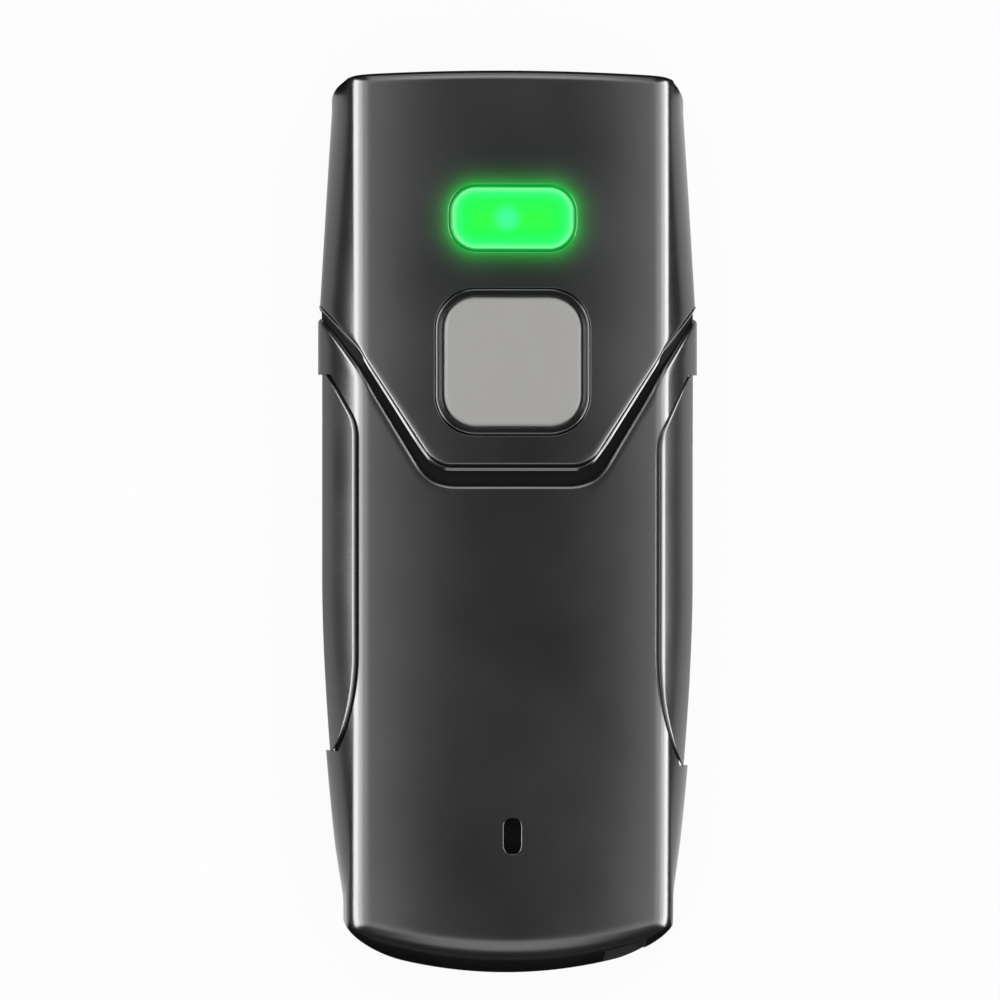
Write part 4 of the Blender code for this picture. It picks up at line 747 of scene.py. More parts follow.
def body_seam(lift=0.0):
    """The body cover's edge, moved forward by a lift. It closes in on the nose cover towards the
    shoulder."""
    line = seam_line(SEAM_FLAT_WIDTH - lift, SEAM_SIDE_WIDTH - lift, SEAM_BODY_SIDE_ANGLE,
                     SEAM_BODY_RADIUS - lift)
    return lambda x: line(x) + np.interp(x, CLOSING_X, (0.0, CLOSING))


def crossing(bowl, line, shape=PART.shape):
    """y where each column meets a seam line: x at the last y gives the next y."""
    y = np.full(shape, SEAM_Y)
    for _ in range(CROSSING_ROUNDS):
        y = line(np.abs(bowl_points(bowl, y)[..., 0]))
    return y


def unit(vectors):
    """Vectors of length one."""
    return vectors / np.maximum(np.linalg.norm(vectors, axis=-1, keepdims=True), TINY)


def normals_of(grid):
    """Normals of a grid of points, from its two difference directions, upwards in the middle."""
    normal = unit(np.cross(np.gradient(grid, axis=0), np.gradient(grid, axis=1)))
    return normal * np.sign(normal[len(normal) // 2, grid.shape[1] // 2, 2])


def rolled(grid, radius):
    """Rows that carry a grid on over a quarter round at its last row: out by the sine, in by the cosine."""
    along = unit(np.gradient(grid[-1], axis=0))
    normal = normals_of(grid[-3:])[-1]
    out = unit(np.cross(normal, along))
    out = out * np.sign(np.sum(out * (grid[-1] - grid[-2]), axis=-1, keepdims=True))
    turn = np.linspace(0.0, np.pi / 2, ROLL_STEPS + 1)[1:, None, None]
    return grid[-1] + radius * (out * np.sin(turn) - normal * (1 - np.cos(turn)))


MAIN_ROWS = 54


def cover_face(bowl, end, line, main_rows=MAIN_ROWS):
    """A cover's face from an end's tip to a seam line."""
    y, share, cap = end_rows(bowl, end)
    goal = crossing(bowl, line)
    t = np.linspace(0.0, 1.0, main_rows + 1)[1:, None]
    main = y[-1] + (goal - y[-1]) * t
    y = np.concatenate([y[:, None] + 0 * goal, main])
    share = np.concatenate([share, np.ones(main_rows)])[:, None]
    cap = np.concatenate([cap, np.full(main_rows, NO_CAP)])[:, None]
    return bowl_points(bowl, y, share=share, cap=cap)


def cover(name, bowl, end, rolled_line, line, radius):
    """A cover: its face with a rolled seam edge, and the same face a wall deeper inside."""
    face = cover_face(bowl, getattr(bowl, end), rolled_line)
    outer = np.concatenate([face, rolled(face, radius)])
    room = inset(bowl, WALL)
    inner = cover_face(room, getattr(room, end), line, MAIN_ROWS + ROLL_STEPS)
    return closed_shell(name, outer, inner)


NOSE_ROLL = 0.4 * MM
BODY_ROLL = 0.5 * MM
nose_cover = cover("nose_cover_skin", HEAD, "nose", nose_seam(-NOSE_ROLL), nose_seam(), NOSE_ROLL)
body_cover = cover("body_cover_skin", BODY, "tail", body_seam(-BODY_ROLL), body_seam(), BODY_ROLL)
print("covers:", len(nose_cover.data.polygons), len(body_cover.data.polygons))

# %% [markdown]
# ## Openings with round lips
# The lens, the button's bezel and the sound slot sit in openings whose lips are slightly rounded. A tool
# with a flared top cuts such an opening in one go: it follows the crown of the cover, and its flare is a
# quarter round that leaves the face at a small angle.

# %% Rounded rectangles and flared tools
CORNER_STEPS = 10
SIDE_STEPS = 12
ROUND_ANGLE = np.linspace(0.0, 2 * np.pi, 48, endpoint=False)
FLARE_TURN = np.radians(np.linspace(20.0, 90.0, 7))
TOOL_OVER = 0.4 * MM
FLARE_OVER = 1.1


@dataclass
class Outline:
    """Centres, headings and corner radius of a closed outline, and its middle."""

    centre: np.ndarray
    heading: np.ndarray
    corner: float
    middle: np.ndarray


def rounded_rectangle(half_x, half_y, corner, x=0.0, y=0.0):
    """A rectangle with round corners. A point is its centre plus the corner radius along its heading: at a
    corner the heading turns, and along a side the centre slides to the next corner's."""
    turn = np.linspace(0.0, np.pi / 2, CORNER_STEPS + 1)
    slide = np.linspace(0.0, 1.0, SIDE_STEPS + 1)[None, 1:-1, None]
    signs = np.array([(1, 1), (-1, 1), (-1, -1), (1, -1)])
    middle = np.array([x, y])
    corners = (signs * (half_x - corner, half_y - corner) + middle)[:, None]
    ahead = np.roll(corners, -1, axis=0)
    angle = np.arange(4)[:, None] * np.pi / 2 + turn
    centre = np.concatenate([corners + 0 * angle[..., None], corners + (ahead - corners) * slide], axis=1)
    angle = np.concatenate([angle, angle[:, -1:] + 0 * slide[:, :, 0]], axis=1).ravel()
    heading = np.stack([np.cos(angle), np.sin(angle)], axis=-1)
    return Outline(centre.reshape(-1, 2), heading, corner, middle)


def circle(x, y, radius=0.0):
    """An outline with no sides: every point has the same centre."""
    middle = np.array([x, y])
    heading = np.stack([np.cos(ROUND_ANGLE), np.sin(ROUND_ANGLE)], axis=-1)
    return Outline(middle + 0 * heading, heading, radius, middle)


def rings(outline, grow, scale=1.0):
    """Loops (r, n, 2) round an outline, each grown by its own amount, then scaled about the middle."""
    grow, scale = np.broadcast_arrays(np.asarray(grow, float), scale)
    points = outline.centre + (outline.corner + grow)[:, None, None] * outline.heading
    return outline.middle + (points - outline.middle) * scale[:, None, None]


def raised(loops, height, lift):
    """Loops lifted into space: a height over (x, y), or one number, plus each loop's own lift."""
    base = height(loops[..., 0], loops[..., 1]) if callable(height) else height
    z = base + np.asarray(lift, float)[:, None] + 0 * loops[..., 0]
    return np.concatenate([loops, z[..., None]], axis=-1)


def carried(name, outline, grow, lift, height=0.0):
    """A solid from an outline carried up a profile: how far each loop is grown, and how high it lies."""
    return loft(name, raised(rings(outline, grow), height, lift))


def flared_tool(name, outline, grow, edge, deep, height):
    """A tool that cuts an opening with a quarter round lip: out by 1 - sine, down by 1 - cosine."""
    out = np.concatenate([[FLARE_OVER * edge], edge * (1 - np.sin(FLARE_TURN)), [0.0]])
    down = np.concatenate([[TOOL_OVER], -edge * (1 - np.cos(FLARE_TURN)), [-deep]])
    return carried(name, outline, grow + out, down, height)


def ring_solid(name, loops):
    """A closed ring whose section runs through the loops and back to the first."""
    rows = np.concatenate([loops, loops[:1]])
    return mesh_object(name, rows, grid_quads(*rows.shape[:2], wrap=True))


def head_top(x, y):
    """Height of the covers' crown over a place."""
    return crown_height(HEAD, x, y)


lens_low, lens_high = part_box("indicator_lens")
button_low, button_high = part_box("scan_button")
bezel_low, bezel_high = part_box("button_bezel")
mesh_low, mesh_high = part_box("sound_mesh")
LENS_Y = (lens_low.y + lens_high.y) / 2
BUTTON_Y = (button_low.y + button_high.y) / 2
SLOT_SHIFT = 0.4 * MM
SLOT_Y = (mesh_low.y + mesh_high.y) / 2 + SLOT_SHIFT
LENS_HALF = (6.8 * MM, 3.55 * MM)
LENS_CORNER = 2.9 * MM
BUTTON_HALF = (7.4 * MM, 6.95 * MM)
BUTTON_CORNER = 3.4 * MM
BUTTON_GAP = 0.25 * MM
BEZEL_RING = 0.65 * MM
SLOT_HALF = (0.95 * MM, 1.95 * MM)
SLOT_CORNER = 0.9 * MM
LIP_ROUND = 0.1 * MM
LENS = rounded_rectangle(*LENS_HALF, LENS_CORNER, 0.0, LENS_Y)
BUTTON = rounded_rectangle(*BUTTON_HALF, BUTTON_CORNER, 0.0, BUTTON_Y)
SLOT = rounded_rectangle(*SLOT_HALF, SLOT_CORNER, 0.0, SLOT_Y)
BEZEL_GROW = BUTTON_GAP + BEZEL_RING

carve(nose_cover, flared_tool("lens_tool", LENS, BOND, LIP_ROUND, 2 * WALL, head_top))
carve(nose_cover, flared_tool("bezel_tool", BUTTON, BEZEL_GROW + BOND, LIP_ROUND, 2 * WALL, head_top))
carve(body_cover, flared_tool("slot_tool", SLOT, 0.0, LIP_ROUND, 2 * WALL, head_top))

# %% [markdown]
# ## Light of the lens
# A green lamp shines through the lens, and its light spills onto the cover round it. Both are given as
# emission that depends on the distance from the lens's outline, so the distance is a node group. Outside
# the outline it is the usual distance to a rounded rectangle, and inside it is negative.

# %% Glow of the lens
GLOW_REACH = 0.72
GLOW_COLOUR = (0.0, 0.42, 0.03, 1.0)
SPOT_COLOUR = (0.042, 1.0, 0.30, 1.0)
SPOT_SPAN = (0.3, 2.0)
SPOT_X = -0.65
LENS_SPAN = (-3.5, 0.0)
LENS_RIM = (0.003, 0.20, 0.026, 1.0)
LENS_STOPS = (
    (0.0, (0.02, 1.0, 0.03, 1.0)), (0.5, (0.0, 1.0, 0.06, 1.0)), (0.75, (0.02, 0.93, 0.15, 1.0)),
    (0.90, (0.17, 0.85, 0.31, 1.0)), (0.95, LENS_RIM), (1.0, LENS_RIM))
BLACK = (0.0, 0.0, 0.0, 1.0)


def lens_field():
    """Distance from the lens's outline, in millimetres: the length of the part beyond the corner centres,
    or the larger overlap inside, less the corner radius. Radius is the distance from the lamp behind it."""
    tree, _ = new_group("lens_field", {}, ("Distance", "Radius"))
    work = functools.partial(calculate, tree)

    def length(x, y):
        return work("SQRT", work("ADD", work("MULTIPLY", x, x), work("MULTIPLY", y, y)))

    place = add_node(tree, "ShaderNodeTexCoord").outputs["Object"]
    axes = add_node(tree, "ShaderNodeSeparateXYZ", {0: place}).outputs
    x = work("DIVIDE", axes["X"], MM)
    y = work("DIVIDE", work("SUBTRACT", axes["Y"], LENS_Y), MM)
    corner = LENS_CORNER / MM
    beyond_x = work("SUBTRACT", work("ABSOLUTE", x), LENS_HALF[0] / MM - corner)
    beyond_y = work("SUBTRACT", work("ABSOLUTE", y), LENS_HALF[1] / MM - corner)
    outside = length(work("MAXIMUM", beyond_x, 0.0), work("MAXIMUM", beyond_y, 0.0))
    inside = work("MINIMUM", work("MAXIMUM", beyond_x, beyond_y), 0.0)
    add_node(tree, "NodeGroupOutput", {
        "Distance": work("SUBTRACT", work("ADD", outside, inside), corner),
        "Radius": length(work("SUBTRACT", x, SPOT_X), y)})
    return tree


LENS_FIELD = lens_field()


def lit(material, light):
    """The material with a colour as the light it gives."""
    feed(material.node_tree.nodes["Principled BSDF"], {
        "Emission Strength": 1.0, "Emission Color": light.outputs["Result"]})
    return material


def glowing_cover():
    """The satin finish with the lens's light on it, which falls off as exp(-distance / reach)."""
    made = finish("satin_black_plastic").copy()
    made.name = "lit_satin_finish"
    tree = made.node_tree
    field = add_node(tree, "ShaderNodeGroup", node_tree=LENS_FIELD).outputs
    reach = calculate(tree, "DIVIDE", field["Distance"], -GLOW_REACH)
    fall = calculate(tree, "EXPONENT", reach, use_clamp=True)
    return lit(made, add_node(tree, "ShaderNodeMix", {
        "Factor": fall, "A": BLACK, "B": GLOW_COLOUR}, data_type="RGBA"))


def lit_lens():
    """The lens finish with its light: a ramp from the middle to the dark rim, and a bluish spot over the
    lamp."""
    made = finish("green_lens_plastic")
    tree = made.node_tree
    field = add_node(tree, "ShaderNodeGroup", node_tree=LENS_FIELD).outputs
    across = add_node(tree, "ShaderNodeMapRange", {
        "Value": field["Distance"], "From Min": LENS_SPAN[0], "From Max": LENS_SPAN[1]})
    ramp = add_node(tree, "ShaderNodeValToRGB", {"Fac": across.outputs["Result"]})
    stops = ramp.color_ramp.elements
    stops.remove(stops[1])
    for share, colour in LENS_STOPS:
        stop = stops.new(share) if share else stops[0]
        stop.color = colour
    spot = add_node(tree, "ShaderNodeMapRange", {
        "Value": field["Radius"], "From Min": SPOT_SPAN[1], "From Max": SPOT_SPAN[0]},
        interpolation_type="SMOOTHSTEP")
    return lit(made, add_node(tree, "ShaderNodeMix", {
        "Factor": spot.outputs["Result"], "A": ramp.outputs["Color"], "B": SPOT_COLOUR}, data_type="RGBA"))


dress(nose_cover, "satin_black_plastic", "housing", "nose_cover", material=glowing_cover())

# %% [markdown]
# ## Bezel, thumb button and lens
# The bezel is a polished ring with a rounded lip and a slight slope down to the button. The button has a
# soft edge and a barely crowned face, and a flange that keeps it in the case. The lens is a low dome with
# the same flange. All three are outlines carried up a profile: how far each loop is grown, how high it
# lies, and how far it is drawn in to the middle.

# %% Bezel, button and lens
SOFT_TURN = np.linspace(0.0, np.pi / 2, 9)
DRAW_IN = np.linspace(1.0, 0.0, 13)[1:]
BEZEL_TURN = np.linspace(np.pi, 0.0, 9)
BEZEL_SLOPE = np.linspace(0.0, 1.0, 8)[1:]
BEZEL_LIP = 0.12 * MM
BEZEL_LIP_SUNK = 0.6
BEZEL_FALL = 0.085 * MM
BUTTON_EDGE = 0.45 * MM
BUTTON_CROWN = 0.08 * MM
LENS_EDGE = 0.35 * MM
LENS_DOME = 0.18 * MM
FLANGE = 0.8 * MM


def bezel():
    """A ring: outer wall, lip round of half a turn, a slope down to the button, inner wall."""
    lip_out = BEZEL_GROW - BEZEL_LIP - BEZEL_LIP * np.cos(BEZEL_TURN)
    lip_lift = BEZEL_LIP * (np.sin(BEZEL_TURN) - BEZEL_LIP_SUNK)
    slope_start = BEZEL_GROW - 2 * BEZEL_LIP
    slope_out = slope_start + (BUTTON_GAP - slope_start) * BEZEL_SLOPE
    deep = [bezel_low.z - bezel_high.z]
    grow = np.concatenate([[BEZEL_GROW], lip_out, slope_out, [BUTTON_GAP]])
    lift = np.concatenate([deep, lip_lift, -BEZEL_LIP - BEZEL_FALL * BEZEL_SLOPE, deep])
    return ring_solid("bezel_ring", raised(rings(BUTTON, grow), head_top, lift))


def capped(name, outline, low, top, edge, crown):
    """A flanged cap: flange, upright wall, quarter round edge, and a face with a parabolic crown."""
    grow = [FLANGE, FLANGE, 0.0, *(edge * (np.cos(SOFT_TURN) - 1))]
    lift = [low, low + FLANGE, low + FLANGE, *(top - crown - edge * (1 - np.sin(SOFT_TURN)))]
    wall = raised(rings(outline, grow), 0.0, lift)
    face_lift = top - crown + crown * (1 - DRAW_IN ** 2)
    face = raised(rings(outline, 0 * DRAW_IN - edge, DRAW_IN), 0.0, face_lift)
    return loft(name, np.concatenate([wall, face]))


dress(bezel(), "gloss_black_plastic", "housing", "button_bezel")
dress(capped("button_cap", BUTTON, button_low.z, button_high.z, BUTTON_EDGE, BUTTON_CROWN),
      "grey_button_plastic", "trigger", "scan_button")
dress(capped("lens_cap", LENS, lens_low.z, lens_high.z, LENS_EDGE, LENS_DOME),
      "green_lens_plastic", "housing", "indicator_lens", material=lit_lens())

# %% [markdown]
# ## Seam trim
# The strip in the seam is black. A narrow polished lip runs along the nose cover's edge and catches a thin
# line of light beside the cover's own edge. Under it is a channel in a near-black, barely reflecting
# finish that paints the shade of the seam, so that it stays dark. Both are cut from the body's face
# between the two seam lines, made a little wider so that the channel tucks under the rolled edges. They
# are sunk by a profile across them, and less so at the sides, where the seam closes.

# %% Seam trim
TRIM_ROWS = 12
TRIM_DEEP = 1.5 * MM
TRIM_TUCK = 0.35 * MM
LIP_SHARES = (0.13, 0.32)
LIP_PROFILE = ((0.0, 0.50 * MM), (0.12, 0.28 * MM), (0.3, 0.20 * MM), (0.45, 0.22 * MM), (1.0, 0.35 * MM))
CHANNEL_SHARES = (0.0, 1.0)
CHANNEL_PROFILE = ((0.0, 0.9 * MM),)
EASE_X = (12.0 * MM, 20.0 * MM)
EASE_SHARE = (1.0, 0.5)


def strip(name, low, high, profile):
    """A closed strip between two shares of the way across the seam. Its profile is pairs of a share of the
    way across it and a depth, and its back is level."""
    across = np.linspace(0.0, 1.0, TRIM_ROWS)[:, None]
    share = low + (high - low) * across
    front, rear = nose_seam(-TRIM_TUCK), body_seam(-TRIM_TUCK)
    y = crossing(BODY, lambda x: front(x) + (rear(x) - front(x)) * share, (TRIM_ROWS, len(PART)))
    face = bowl_points(BODY, y)
    normal = normals_of(face)
    ease = np.interp(np.abs(face[..., 0]), EASE_X, EASE_SHARE)
    depth = (np.interp(across, *zip(*profile)) * ease)[..., None]
    return closed_shell(name, face - normal * depth, face - normal * TRIM_DEEP)


dress(strip("seam_lip", *LIP_SHARES, LIP_PROFILE), "gloss_black_plastic", "housing")
# the channel's near-black, barely reflecting finish is painted shade, in place of its slot's gloss black
dress(strip("seam_channel", *CHANNEL_SHARES, CHANNEL_PROFILE), "gloss_black_plastic", "housing",
      "seam_trim", material=finish("painted_shade_black"))

# %% [markdown]
# ## Side grips
# A grip is a thin plate let into each side of the body cover, with a narrow groove along its inner edge.
# Its inner edge is a function of y. In each plane across the case, the grip is the body's section from
# the rim up to that edge, moved inwards by the set depth, and its recess is the same section moved deeper,
# with a flared lip towards the crown.

# %% Grips and their recesses
GRIP_SET = 0.45 * MM
GRIP_THICK = 0.7 * MM
GRIP_GROOVE = 0.3 * MM
GRIP_INNER_X = {-1: HALF - 3.6 * MM, 1: HALF - 4.5 * MM}
GRIP_FRONT_Y = NOSE_Y - 31.6 * MM
GRIP_FRONT_ANGLE = math.radians(62)
GRIP_CORNER_RADIUS = 6.0 * MM
GRIP_CURVE_Y = TAIL_Y + 35.0 * MM
GRIP_CURVE_RADIUS = 29.0 * MM
GRIP_ROLL = 0.45 * MM
GRIP_ROWS = 150
GRIP_COLUMNS = 40
COLUMN_CROWDING = 1.5
RECESS_EDGE = 0.55 * MM
RECESS_OVER = 1.0 * MM
GRIP_START = 0.1 * MM
RECESS_START = 1.0 * MM
GRIP_FRONT_EASE = 0.3 * MM
TIP_SHARE = 0.35
BISECTIONS = 30
SCAN_STEPS = 4000
SECTION = [0, 2]


def grip_line(side, grow, front):
    """The grip's inner edge as x over y, grown inwards and at its front: a slanted front, an arc, a
    straight run and a wide arc back out."""
    inner_x = GRIP_INNER_X[side] - grow
    slant = math.tan(GRIP_FRONT_ANGLE)
    lean = math.pi / 2 - GRIP_FRONT_ANGLE
    corner_y = GRIP_FRONT_Y + front / math.cos(GRIP_FRONT_ANGLE) - (HALF - inner_x) * slant
    radius = GRIP_CORNER_RADIUS + grow
    arc_y = corner_y - radius * math.tan(lean / 2)
    arc_end = arc_y + radius * math.sin(lean)
    sweep = GRIP_CURVE_RADIUS + grow

    def line(y):
        over = np.clip(y - arc_y, 0.0, arc_end - arc_y)
        x = inner_x + radius - np.sqrt(radius ** 2 - over ** 2)
        x = np.where(y > arc_end, inner_x + (y - corner_y) / slant, x)
        under = np.clip(GRIP_CURVE_Y - y, 0.0, sweep)
        return x + sweep - np.sqrt(sweep ** 2 - under ** 2)
    return line


def part_at(bowl, x, y):
    """The stretch number where each row's section reaches x, found by halving the span."""
    low, high = np.zeros_like(y), np.full_like(y, 3.0)
    for _ in range(BISECTIONS):
        middle = (low + high) / 2
        outside = bowl_points(bowl, y, 1.0, middle)[:, 0] > x
        low, high = np.where(outside, middle, low), np.where(outside, high, middle)
    return high


def grip_section(line, start):
    """Rows of the body's section from the rim to a line, wherever the line lies more than a start inside
    the body: y, points, tangents and normals, the last three in the plane across the case, and the
    thickness of the plate, which thins out at its tips."""
    scan = np.linspace(TAIL_Y, NOSE_Y, SCAN_STEPS)
    wide = scan[plan_half(BODY, scan) - line(scan) > start]
    swing = np.cos(np.linspace(0.0, np.pi, GRIP_ROWS))
    y = (wide[0] + wide[-1]) / 2 + (wide[-1] - wide[0]) / 2 * swing
    share = 1 - np.linspace(1.0, 0.0, GRIP_COLUMNS) ** COLUMN_CROWDING
    part = (part_at(BODY, line(y), y)[:, None] - LAND_PART) * share + LAND_PART
    points = bowl_points(BODY, y[:, None], 1.0, part)[..., SECTION]
    tangent = unit(np.gradient(points, axis=1))
    normal = np.stack([tangent[..., 1], -tangent[..., 0]], axis=-1)
    thick = np.minimum(GRIP_THICK, TIP_SHARE * (plan_half(BODY, y) - line(y)))
    return y, points, tangent, normal, thick[:, None, None]


def across_case(name, side, y, loops):
    """A solid through section loops (r, n, 2), each in its own plane across the case."""
    depth = np.broadcast_to(y[:, None], loops.shape[:2])
    return loft(name, np.stack([side * loops[..., 0], depth, loops[..., 1]], axis=-1))


def grip(name, side):
    """A grip plate: the section at the set depth, a quarter round inner edge, and its back a thickness
    deeper."""
    line = grip_line(side, -GRIP_ROLL, -GRIP_FRONT_EASE)
    y, points, tangent, normal, thick = grip_section(line, GRIP_START)
    top = points - normal * GRIP_SET
    back = points - normal * (GRIP_SET + thick)
    turn = SOFT_TURN[1:-1, None]
    radius = np.minimum(GRIP_ROLL, thick)
    roll = top[:, -1:] + radius * (tangent[:, -1:] * np.sin(turn) - normal[:, -1:] * (1 - np.cos(turn)))
    foot = back[:, -1:] + radius * tangent[:, -1:]
    return across_case(name, side, y, np.concatenate([top, roll, foot, back[:, ::-1]], axis=1))


def recess_tool(side):
    """The tool for a grip's recess: a floor, a wall with a flared lip, and a lid clear of the face."""
    line = grip_line(side, GRIP_GROOVE, GRIP_GROOVE)
    y, points, tangent, normal, thick = grip_section(line, RECESS_START)
    floor = points - normal * (GRIP_SET + thick + BOND)
    edge, along, out = points[:, -1:], tangent[:, -1:], normal[:, -1:]
    turn = FLARE_TURN[::-1, None]
    flare = edge + RECESS_EDGE * (along * (1 - np.sin(turn)) - out * (1 - np.cos(turn)))
    lip = edge + along * RECESS_EDGE * FLARE_OVER + out * RECESS_OVER
    lid = (points + normal * RECESS_OVER)[:, ::-1]
    drop = np.array([0.0, 2 * RECESS_OVER])
    loops = [floor[:, :1] - drop, floor, flare, lip, lid, lid[:, -1:] - drop]
    return across_case("recess_tool", side, y, np.concatenate(loops, axis=1))


for side_name, side in (("left", -1), ("right", 1)):
    carve(body_cover, recess_tool(side))
    dress(grip(side_name + "_grip_plate", side), "grip_plastic", "housing", "grip_" + side_name)

# %% [markdown]
# ## Strap pocket
# A pocket at the tail's right corner is open to the rear, and an upright pin stands in it for a wrist
# strap. The wall behind it is thickened to a block, which is cut to the inside of the cover's own shape
# before the two are joined, so that nothing shows outside.

# %% Strap pocket
pin_low, pin_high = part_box("strap_pin")
STRAP_X = (pin_low.x + pin_high.x) / 2
STRAP_PIN_Y = (pin_low.y + pin_high.y) / 2
POCKET_HALF_X = 2.3 * MM
POCKET_CORNER = 2.09 * MM
POCKET_DEPTH = 4.4 * MM
POCKET_HEIGHT = 4.3 * MM
POCKET_WALL = 1.3 * MM
POCKET_LOW = COVER_BASE + POCKET_WALL
POCKET_OVER = 1.0 * MM
PIN_ROOT = 0.5 * MM
PIN_EASE = 0.15 * MM


def pocket_outline(grow):
    """Plan of the pocket, from behind the tail to its inner end, grown all round."""
    rear, front = TAIL_Y - POCKET_OVER, STRAP_PIN_Y + POCKET_DEPTH / 2
    half_y = (front - rear) / 2
    return rounded_rectangle(
        POCKET_HALF_X + grow, half_y + grow, POCKET_CORNER + grow, STRAP_X, rear + half_y)


def filled(name, bowl):
    """A cover's shape as one solid, closed by a flat floor on the parting plane."""
    face = cover_face(bowl, bowl.tail, body_seam())
    return closed_shell(name, face, face * (1, 1, 0) + (0, 0, COVER_BASE))


def upright(name, outline, low, high):
    """A solid with one outline from low to high."""
    return carried(name, outline, [0.0, 0.0], [low, high])


strap_block = upright("strap_block", pocket_outline(POCKET_WALL), COVER_BASE + BOND,
                      POCKET_LOW + POCKET_HEIGHT + POCKET_WALL)
carve(strap_block, filled("cover_room", inset(BODY, WALL / 2)), "INTERSECT")
carve(body_cover, strap_block, "UNION")
carve(body_cover, upright("pocket_tool", pocket_outline(0.0), POCKET_LOW, POCKET_LOW + POCKET_HEIGHT))
dress(body_cover, "satin_black_plastic", "housing", "body_cover")


def turned_pin():
    """An upright pin with eased ends, as long as the pocket is high and let into both its walls."""
    radius = (pin_high.x - pin_low.x) / 2
    low, high = pin_low.z, POCKET_LOW + POCKET_HEIGHT + PIN_ROOT
    grow = [radius - PIN_EASE, radius, radius, radius - PIN_EASE]
    lift = [low, low + PIN_EASE, high - PIN_EASE, high]
    return carried("turned_pin", circle(STRAP_X, STRAP_PIN_Y), grow, lift)


dress(turned_pin(), SLOT_OF["strap_pin"], "housing", "strap_pin")

# %% [markdown]
# ## Bottom shell
# The tray under the covers is a third bowl, upside down. It has a lip that stands up inside both covers,
# a raked front wall with the opening of the scan window, an opening for the charging socket in its tail,
# and four sunk holes for the case screws.

# %% Bottom shell
SHELL_ROWS = 48
RIM_SIDE_POINTS = 70
RIM_END_POINTS = 24
LIP_ROOT = 0.25 * MM
LIP_THICK = 0.8 * MM
LIP_RISE = 1.2 * MM
LIP_DEEP = 2.0 * MM
BOSS_RADIUS = 3.2 * MM
SCREW_RADIUS = 1.1 * MM
SCREW_HEAD_RADIUS = 2.0 * MM
SCREW_HEAD_HEIGHT = 1.4 * MM
WINDOW_HALF = (12.5 * MM, 4.425 * MM)
WINDOW_CORNER = 2.2 * MM
WINDOW_MIDDLE_Z = 8.925 * MM
FRAME_BORDER = 1.5 * MM
FRAME_SUNK = 0.3 * MM
FRAME_THICK = 1.0 * MM
PANE_THICK = 1.0 * MM
TOOL_REACH = 3.0 * MM
SOCKET_EDGE = 0.4 * MM
USB_CORNER_SHARE = 0.9


def shell_face(bowl):
    """A whole bowl's face, from its tail's tip to its nose's."""
    tail, nose = end_rows(bowl, bowl.tail), end_rows(bowl, bowl.nose)
    main = np.linspace(tail[0][-1], nose[0][-1], SHELL_ROWS + 2)[1:-1]
    middle = (main, np.ones(SHELL_ROWS), np.full(SHELL_ROWS, NO_CAP))
    y, share, cap = (np.concatenate([a, b, c[::-1]])[:, None] for a, b, c in zip(tail, middle, nose))
    return bowl_points(bowl, y, share=share, cap=cap)


def shell_rim(depth, z):
    """The shell's plan, a depth inside its face, at a height: up its right side, across the nose, down its
    left side and across the tail."""
    bowl = inset(SHELL, depth)
    length = bowl.nose.tip - bowl.tail.tip
    y = bowl.tail.tip + length * (1 - np.cos(np.linspace(0.0, np.pi, RIM_SIDE_POINTS))) / 2
    x = plan_half(bowl, y)
    across = np.linspace(1.0, -1.0, RIM_END_POINTS)[1:-1]
    x, y = (np.concatenate(runs) for runs in (
        (x, x[-1] * across, -x[::-1], -x[0] * across),
        (y, y[-1] + 0 * across, y[::-1], y[0] + 0 * across)))
    return np.stack([x, bowed(bowl, x, y), np.full_like(x, z)], axis=-1)


def joined(*pieces):
    """Several solids as one object, under the first one's name."""
    shape = bmesh.new()
    for piece in pieces:
        shape.from_mesh(piece.data)
    shape.to_mesh(pieces[0].data)
    shape.free()
    for piece in pieces[1:]:
        bpy.data.objects.remove(piece)
    return pieces[0]


def wall_slope(end):
    """Angle of an end's straight wall over the parting plane, from its run, rise and edge radius."""
    up = SHELL.rise - end.radius - SHELL.land
    return math.atan2(up, end.run) + math.asin(end.radius / math.hypot(up, end.run))


def wall_y(end, z):
    """y of an end's straight wall at a height."""
    return end.tip - end.facing * (SHELL_BASE - SHELL.land - z) / math.tan(wall_slope(end))


WINDOW_PLACE = (Matrix.Translation((0.0, wall_y(SHELL.nose, WINDOW_MIDDLE_Z), WINDOW_MIDDLE_Z))
                @ Matrix.Rotation(wall_slope(SHELL.nose) - math.pi, 4, "X"))
WINDOW = rounded_rectangle(*WINDOW_HALF, WINDOW_CORNER)
usb_low, usb_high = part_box("usb_socket")
USB_HALF = ((usb_high.x - usb_low.x) / 2, (usb_high.z - usb_low.z) / 2)
USB_MIDDLE_Z = (usb_low.z + usb_high.z) / 2
USB = rounded_rectangle(*USB_HALF, USB_CORNER_SHARE * USB_HALF[1], 0.0, USB_MIDDLE_Z)
SCREW_BOXES = [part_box(f"case_screw_{count}") for count in range(1, 5)]
SCREW_PLACES = [((low.x + high.x) / 2, (low.y + high.y) / 2) for low, high in SCREW_BOXES]
SCREW_LOW, SCREW_TIP = SCREW_BOXES[0][0].z, SCREW_BOXES[0][1].z
SCREW_SEAT = SCREW_LOW + SCREW_HEAD_HEIGHT + BOND


def along_depth(loops, y):
    """Loops in (x, z), each at its own y."""
    depth = np.broadcast_to(np.asarray(y, float)[:, None], loops.shape[:2])
    return np.stack([loops[..., 0], depth, loops[..., 1]], axis=-1)


def sink_tool(x, y):
    """The tool for a screw's hole: wide for the head, then narrow for the shank."""
    radius = [SCREW_HEAD_RADIUS + GAP, SCREW_HEAD_RADIUS + GAP, SCREW_RADIUS + GAP, SCREW_RADIUS + GAP]
    lift = [-TOOL_OVER, SCREW_SEAT, SCREW_SEAT, HEIGHT]
    return carried("sink_tool", circle(x, y), radius, lift)


